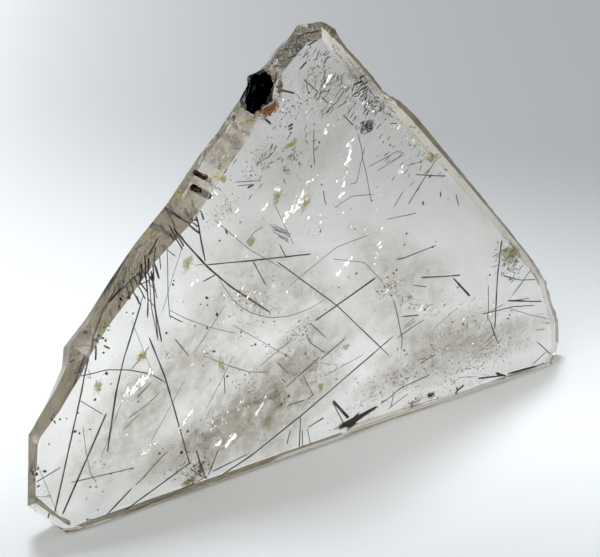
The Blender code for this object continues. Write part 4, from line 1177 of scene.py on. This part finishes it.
class QUARTZ_OT_schorl(bpy.types.Operator):
    """The schorl block, the stout prisms and the single needles"""

    bl_idname = "quartz.schorl"
    bl_label = "Schorl"

    def execute(self, context):
        looks = context.scene.needle_looks
        black = schorl_material("schorl_black_grown", tuple(looks.schorl_colour), 0.22, (0.0, 0.0, 0.0))
        brown = schorl_material("schorl_brown_grown", tuple(looks.brown_colour), 0.25, (0.3, 0.0, 0.5))
        add_big_schorl(black)
        add_twin_prisms(brown)
        add_needles(black)
        add_bar(black)
        add_lumps(black)
        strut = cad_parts["schorl_strut"]
        strut.data.materials.clear()
        strut.data.materials.append(black)
        return {"FINISHED"}


class QUARTZ_OT_fine_needles(bpy.types.Operator):
    """Needles and hairs too fine to be solids, as joined meshes"""

    bl_idname = "quartz.fine_needles"
    bl_label = "Fine needles"

    def execute(self, context):
        looks = context.scene.needle_looks
        black = schorl_material("schorl_needles_fine", tuple(looks.schorl_colour), 0.25, (0.0, 0.0, 0.0))
        for name, paths, width, points, seed in (
            ("schorl_needles_bold", BOLD, looks.bold_width, 10, 41),
            ("schorl_dashes", dash_paths(45), looks.thin_width, 4, 46),
            ("schorl_needles_thin", THIN, looks.thin_width, 30, 42),
            ("schorl_hairs", HAIRS, looks.hair_width, 40, 43),
        ):
            runs, _ = whole_runs(sunk_paths(paths, points, seed))
            widths = width / MM * np.random.default_rng(seed).uniform(0.75, 1.2, len(runs))
            rods(name, runs, widths, black)
        bundle = sink(bundle_paths(44), np.linspace(2.1, 3.5, BUNDLE_COUNT)[:, None])
        widths = np.full(len(bundle), looks.thin_width / MM)
        rods("schorl_needles_bundle", bundle, widths, black)
        return {"FINISHED"}


class QUARTZ_OT_grains(bpy.types.Operator):
    """Black and brown grains, yellow-green and rust-coloured drifts"""

    bl_idname = "quartz.grains"
    bl_label = "Grains"

    def execute(self, context):
        looks = context.scene.needle_looks
        black = schorl_material("schorl_grains", tuple(looks.schorl_colour), 0.3, (0.0, 0.0, 0.0))
        brown = mineral_material("iron_clay_grains", linear("#b08e54"), linear("#7a6238"), 0.8)
        yellow = mineral_material("yellow_green_mica_flakes", linear("#ece25a"), linear("#b8b038"), 0.5)
        rust = mineral_material("iron_rust_crust", linear("#e8a03c"), linear("#94601c"), 0.85)
        size = looks.grain_size / MM
        for name, seen, share, seed in (
            ("schorl_grains_big", BIG_GRAINS, 1.5, 51), ("schorl_grains_listed", GRAINS, 1.0, 52),
        ):
            places = listed_places(seen, seed)
            sizes = size * share * np.random.default_rng(seed).uniform(0.7, 1.25, len(places))
            grains(name, places, sizes, black, seed)
        for name, drifts, finish, seed, deep in (
            ("schorl_grains_drifted", DARK_DRIFTS, black, 53, 5.2),
            ("iron_clay_drifts", BROWN_DRIFTS, brown, 54, 5.2),
            ("yellow_green_drifts", YELLOW_DRIFTS, yellow, 55, 3.0),
            ("rust_by_schorl", RUST_DRIFTS, rust, 56, 1.3),
        ):
            places, sizes = drift_places(drifts, seed, deep=deep)
            piece = grains(name, places, sizes, finish, seed)
        return {"FINISHED"}


class QUARTZ_OT_cracks(bpy.types.Operator):
    """Bright cracks and healed, veiled cracks inside the quartz"""

    bl_idname = "quartz.cracks"
    bl_label = "Cracks and veils"

    def execute(self, context):
        film = veil_material("yellow_green_mica_film", linear("#e2de78"), 1.5, 0.6, 1.5)
        for number, (centre, half, turn, _, _) in enumerate(YELLOW_DRIFTS[:14], 1):
            add_veil(f"yellow_{number:02d}", centre, np.multiply(half, 1.25), turn, 2.2, 0.55, film)
        bright = mineral_material(
            "air_filled_cracks_mirror_bright", linear("#ffffff"), linear("#f4f6f6"), 0.16, Metallic=1.0)
        add_flakes(bright, 61)
        brown = veil_material("healed_cracks_iron_stained", linear("#b59c5e"), 3.2, 0.65, 1.4)
        for veil in VEILS:
            add_veil(*veil, brown)
        pale = veil_material("haze_of_fine_bubbles", linear("#fdfaf2"), 9.0, 0.7, 1.3)
        for number, (y, strength) in enumerate(HAZE, 1):
            add_haze(f"haze_{number}", y, strength, pale)
        return {"FINISHED"}


class QUARTZ_OT_stage(bpy.types.Operator):
    """Pale floor, soft studio light and the camera"""

    bl_idname = "quartz.stage"
    bl_label = "Stage"

    def execute(self, context):
        add_floor()
        add_lights()
        add_camera()
        return {"FINISHED"}


class QUARTZ_PT_panel(bpy.types.Panel):
    bl_label = "Quartz with schorl"
    bl_idname = "QUARTZ_PT_panel"
    bl_space_type = "VIEW_3D"
    bl_region_type = "UI"
    bl_category = "Quartz"

    def draw(self, context):
        for group in (context.scene.quartz_looks, context.scene.needle_looks):
            for key in group.bl_rna.properties.keys():
                if key not in ("rna_type", "name"):
                    self.layout.prop(group, key)
        for step in STEPS:
            self.layout.operator(step.bl_idname)


STEPS = (
    QUARTZ_OT_clear_plate, QUARTZ_OT_schorl, QUARTZ_OT_fine_needles, QUARTZ_OT_grains,
    QUARTZ_OT_cracks, QUARTZ_OT_stage,
)


def add_floor():
    """A round floor with painted shade: its colour goes from white near the crystal to grey at the far
    right.
    """
    around = 96
    reach = np.array([0.02, 0.1, 0.3, 0.8, 2.0, 6.0])[:, None]
    way = np.linspace(0, 2 * math.pi, around, endpoint=False)
    level = np.zeros((len(reach), around))
    rings = np.stack([reach * np.cos(way), reach * np.sin(way), level], axis=-1)
    corners = np.concatenate([[(0.0, 0.0, 0.0)], rings.reshape(-1, 3)]) - (0.0, 0.0, FLOOR_GAP * MM)
    ring = 1 + np.arange(around)
    fan = np.stack([np.zeros(around, dtype=int), ring, np.roll(ring, -1)], axis=-1)
    quads = 1 + quad_rows(len(reach), around)[..., ::-1].reshape(-1, 4)
    # the board's colour carries painted shade and a painted shadow, worked out below
    finish, tree, shader = new_material("studio_board_with_painted_shade", linear("#f8fafb"), 0.7)
    turn = math.atan2(AIM[0] - EYE[0], AIM[1] - EYE[1])
    spot = add_node(tree, "ShaderNodeSeparateXYZ", {
        "Vector": object_coordinates(tree, rotation=(0.0, 0.0, turn)),
    })
    # metres away from the viewer, and metres to the viewer's right
    # painted shade: the board darkens away from the viewer, more so on the right, where the light falls off,
    # and a little right in front, as a painted shadow
    aslant = add_node(tree, "ShaderNodeMath", {
        0: spot.outputs["X"], 1: 0.3, 2: spot.outputs["Y"],
    }, operation="MULTIPLY_ADD")
    away = add_node(tree, "ShaderNodeMapRange", {
        "Value": aslant.outputs[0], "From Min": 0.0, "From Max": 0.185,
    }, interpolation_type="SMOOTHSTEP")
    slide = add_node(tree, "ShaderNodeMath", {
        0: spot.outputs["X"], 1: -16.7, 2: -1.95,
    }, operation="MULTIPLY_ADD")
    fade = add_node(tree, "ShaderNodeMath", {0: slide.outputs[0]}, operation="EXPONENT")
    right = add_node(tree, "ShaderNodeMath", {
        0: fade.outputs[0], 1: -0.64, 2: 0.64,
    }, operation="MULTIPLY_ADD", use_clamp=True)
    # painted shadow: the board is darker right in front of the crystal
    nearest = add_node(tree, "ShaderNodeMapRange", {
        "Value": spot.outputs["Y"], "From Min": 0.01, "From Max": -0.05, "To Max": 0.26,
    })
    painted_shade = add_node(tree, "ShaderNodeMath", {
        0: away.outputs["Result"], 1: right.outputs[0], 2: nearest.outputs["Result"],
    }, operation="MULTIPLY_ADD")
    # painted shade: pale white mixed towards dark blue-grey by the painted shade share
    shade = add_node(tree, "ShaderNodeMix", {
        "Factor": painted_shade.outputs[0], "A": (*linear("#f6fafd"), 1.0), "B": (*linear("#080c14"), 1.0),
    }, data_type="RGBA")
    set_inputs(tree, shader, {"Base Color": shade.outputs["Result"]})
    mesh = bpy.data.meshes.new("floor")
    mesh.from_pydata(corners.tolist(), [], quads.tolist() + fan.tolist())
    mesh.materials.append(finish)
    floor = new_object("floor", mesh)


def point_at(item, place, aim):
    """Puts an object at a place and turns its -Z axis to what it aims at, with Y upwards."""
    item.location = place
    item.rotation_euler = (Vector(aim) - Vector(place)).to_track_quat("-Z", "Y").to_euler()


def add_lights():
    """A soft box nearly overhead, and an even studio with two bright patches at the left."""
    scene = bpy.context.scene
    world = bpy.data.worlds.new("studio")
    world.use_nodes = True
    scene.world = world
    tree = world.node_tree
    way = add_node(tree, "ShaderNodeTexCoord").outputs["Generated"]
    toward = add_node(tree, "ShaderNodeVectorMath", {
        0: way, 1: (-0.45, 0.25, 0.86),
    }, operation="DOT_PRODUCT")
    level = add_node(tree, "ShaderNodeMapRange", {
        "Value": toward.outputs["Value"], "From Min": -1.0, "From Max": 1.0,
    })
    ramp = add_node(tree, "ShaderNodeValToRGB", {"Fac": level.outputs["Result"]})
    ramp.color_ramp.elements[0].color = (*linear("#b9b2a8"), 1.0)
    ramp.color_ramp.elements[1].color = (*linear("#fbfaf6"), 1.0)
    # the even light, to which each patch adds its gain, less so the further from its middle
    strength = 0.66
    for spot, sharpness, gain in (
        ((-0.741, -0.274, 0.613), 40.0, 5.5), ((-0.42, -0.70, 0.577), 300.0, 12.0),
    ):
        beside = add_node(tree, "ShaderNodeVectorMath", {0: way, 1: spot}, operation="DOT_PRODUCT")
        facing = add_node(tree, "ShaderNodeMath", {0: beside.outputs["Value"], 1: 0.0}, operation="MAXIMUM")
        patch = add_node(tree, "ShaderNodeMath", {0: facing.outputs[0], 1: sharpness}, operation="POWER")
        strength = add_node(tree, "ShaderNodeMath", {
            0: patch.outputs[0], 1: gain, 2: strength,
        }, operation="MULTIPLY_ADD").outputs[0]
    set_inputs(tree, tree.nodes["Background"], {"Color": ramp.outputs["Color"], "Strength": strength})
    light = bpy.data.lights.new("soft_box_over", "AREA")
    light.size, light.energy, light.color = 0.24, 4.9, linear("#f2f7ff")
    # its light stops at the glass, as most of it does in a real crystal's shadow
    light.cycles.use_multiple_importance_sampling = False
    point_at(new_object("soft_box_over", light), (0.05, 0.25, 0.95), (0.0, 0.0, 0.04))
    view = scene.view_settings
    view.view_transform = "Standard"
    # the photo's darkest tones are near black
    view.use_curve_mapping = True
    view.curve_mapping.black_level = (0.03, 0.03, 0.03)
    # light crosses many walls and sheets on its way through the quartz
    scene.cycles.max_bounces = scene.cycles.transmission_bounces = 32
    scene.cycles.transparent_max_bounces = 48
    scene.cycles.diffuse_bounces = scene.cycles.glossy_bounces = 16


def add_camera():
    """The camera stands at EYE and looks at AIM."""
    camera = new_object("camera", bpy.data.cameras.new("camera"))
    point_at(camera, *((spot + SHIFT) * MM for spot in (EYE, AIM)))
    camera.data.lens, camera.data.sensor_width = FOCAL_LENGTH, SENSOR_WIDTH
    camera.data.clip_start = 0.02
    bpy.context.scene.camera = camera


CLASSES = (QuartzLooks, NeedleLooks, *STEPS, QUARTZ_PT_panel)


def register():
    for item in CLASSES:
        bpy.utils.register_class(item)
    bpy.types.Scene.quartz_looks = bpy.props.PointerProperty(type=QuartzLooks)
    bpy.types.Scene.needle_looks = bpy.props.PointerProperty(type=NeedleLooks)


def unregister():
    del bpy.types.Scene.quartz_looks
    del bpy.types.Scene.needle_looks
    for item in reversed(CLASSES):
        bpy.utils.unregister_class(item)


def main():
    register()
    bpy.ops.quartz.clear_plate()
    bpy.ops.quartz.schorl()
    bpy.ops.quartz.fine_needles()
    bpy.ops.quartz.grains()
    bpy.ops.quartz.cracks()
    bpy.ops.quartz.stage()
    bpy.context.view_layer.update()


if __name__ == "__main__":
    main()
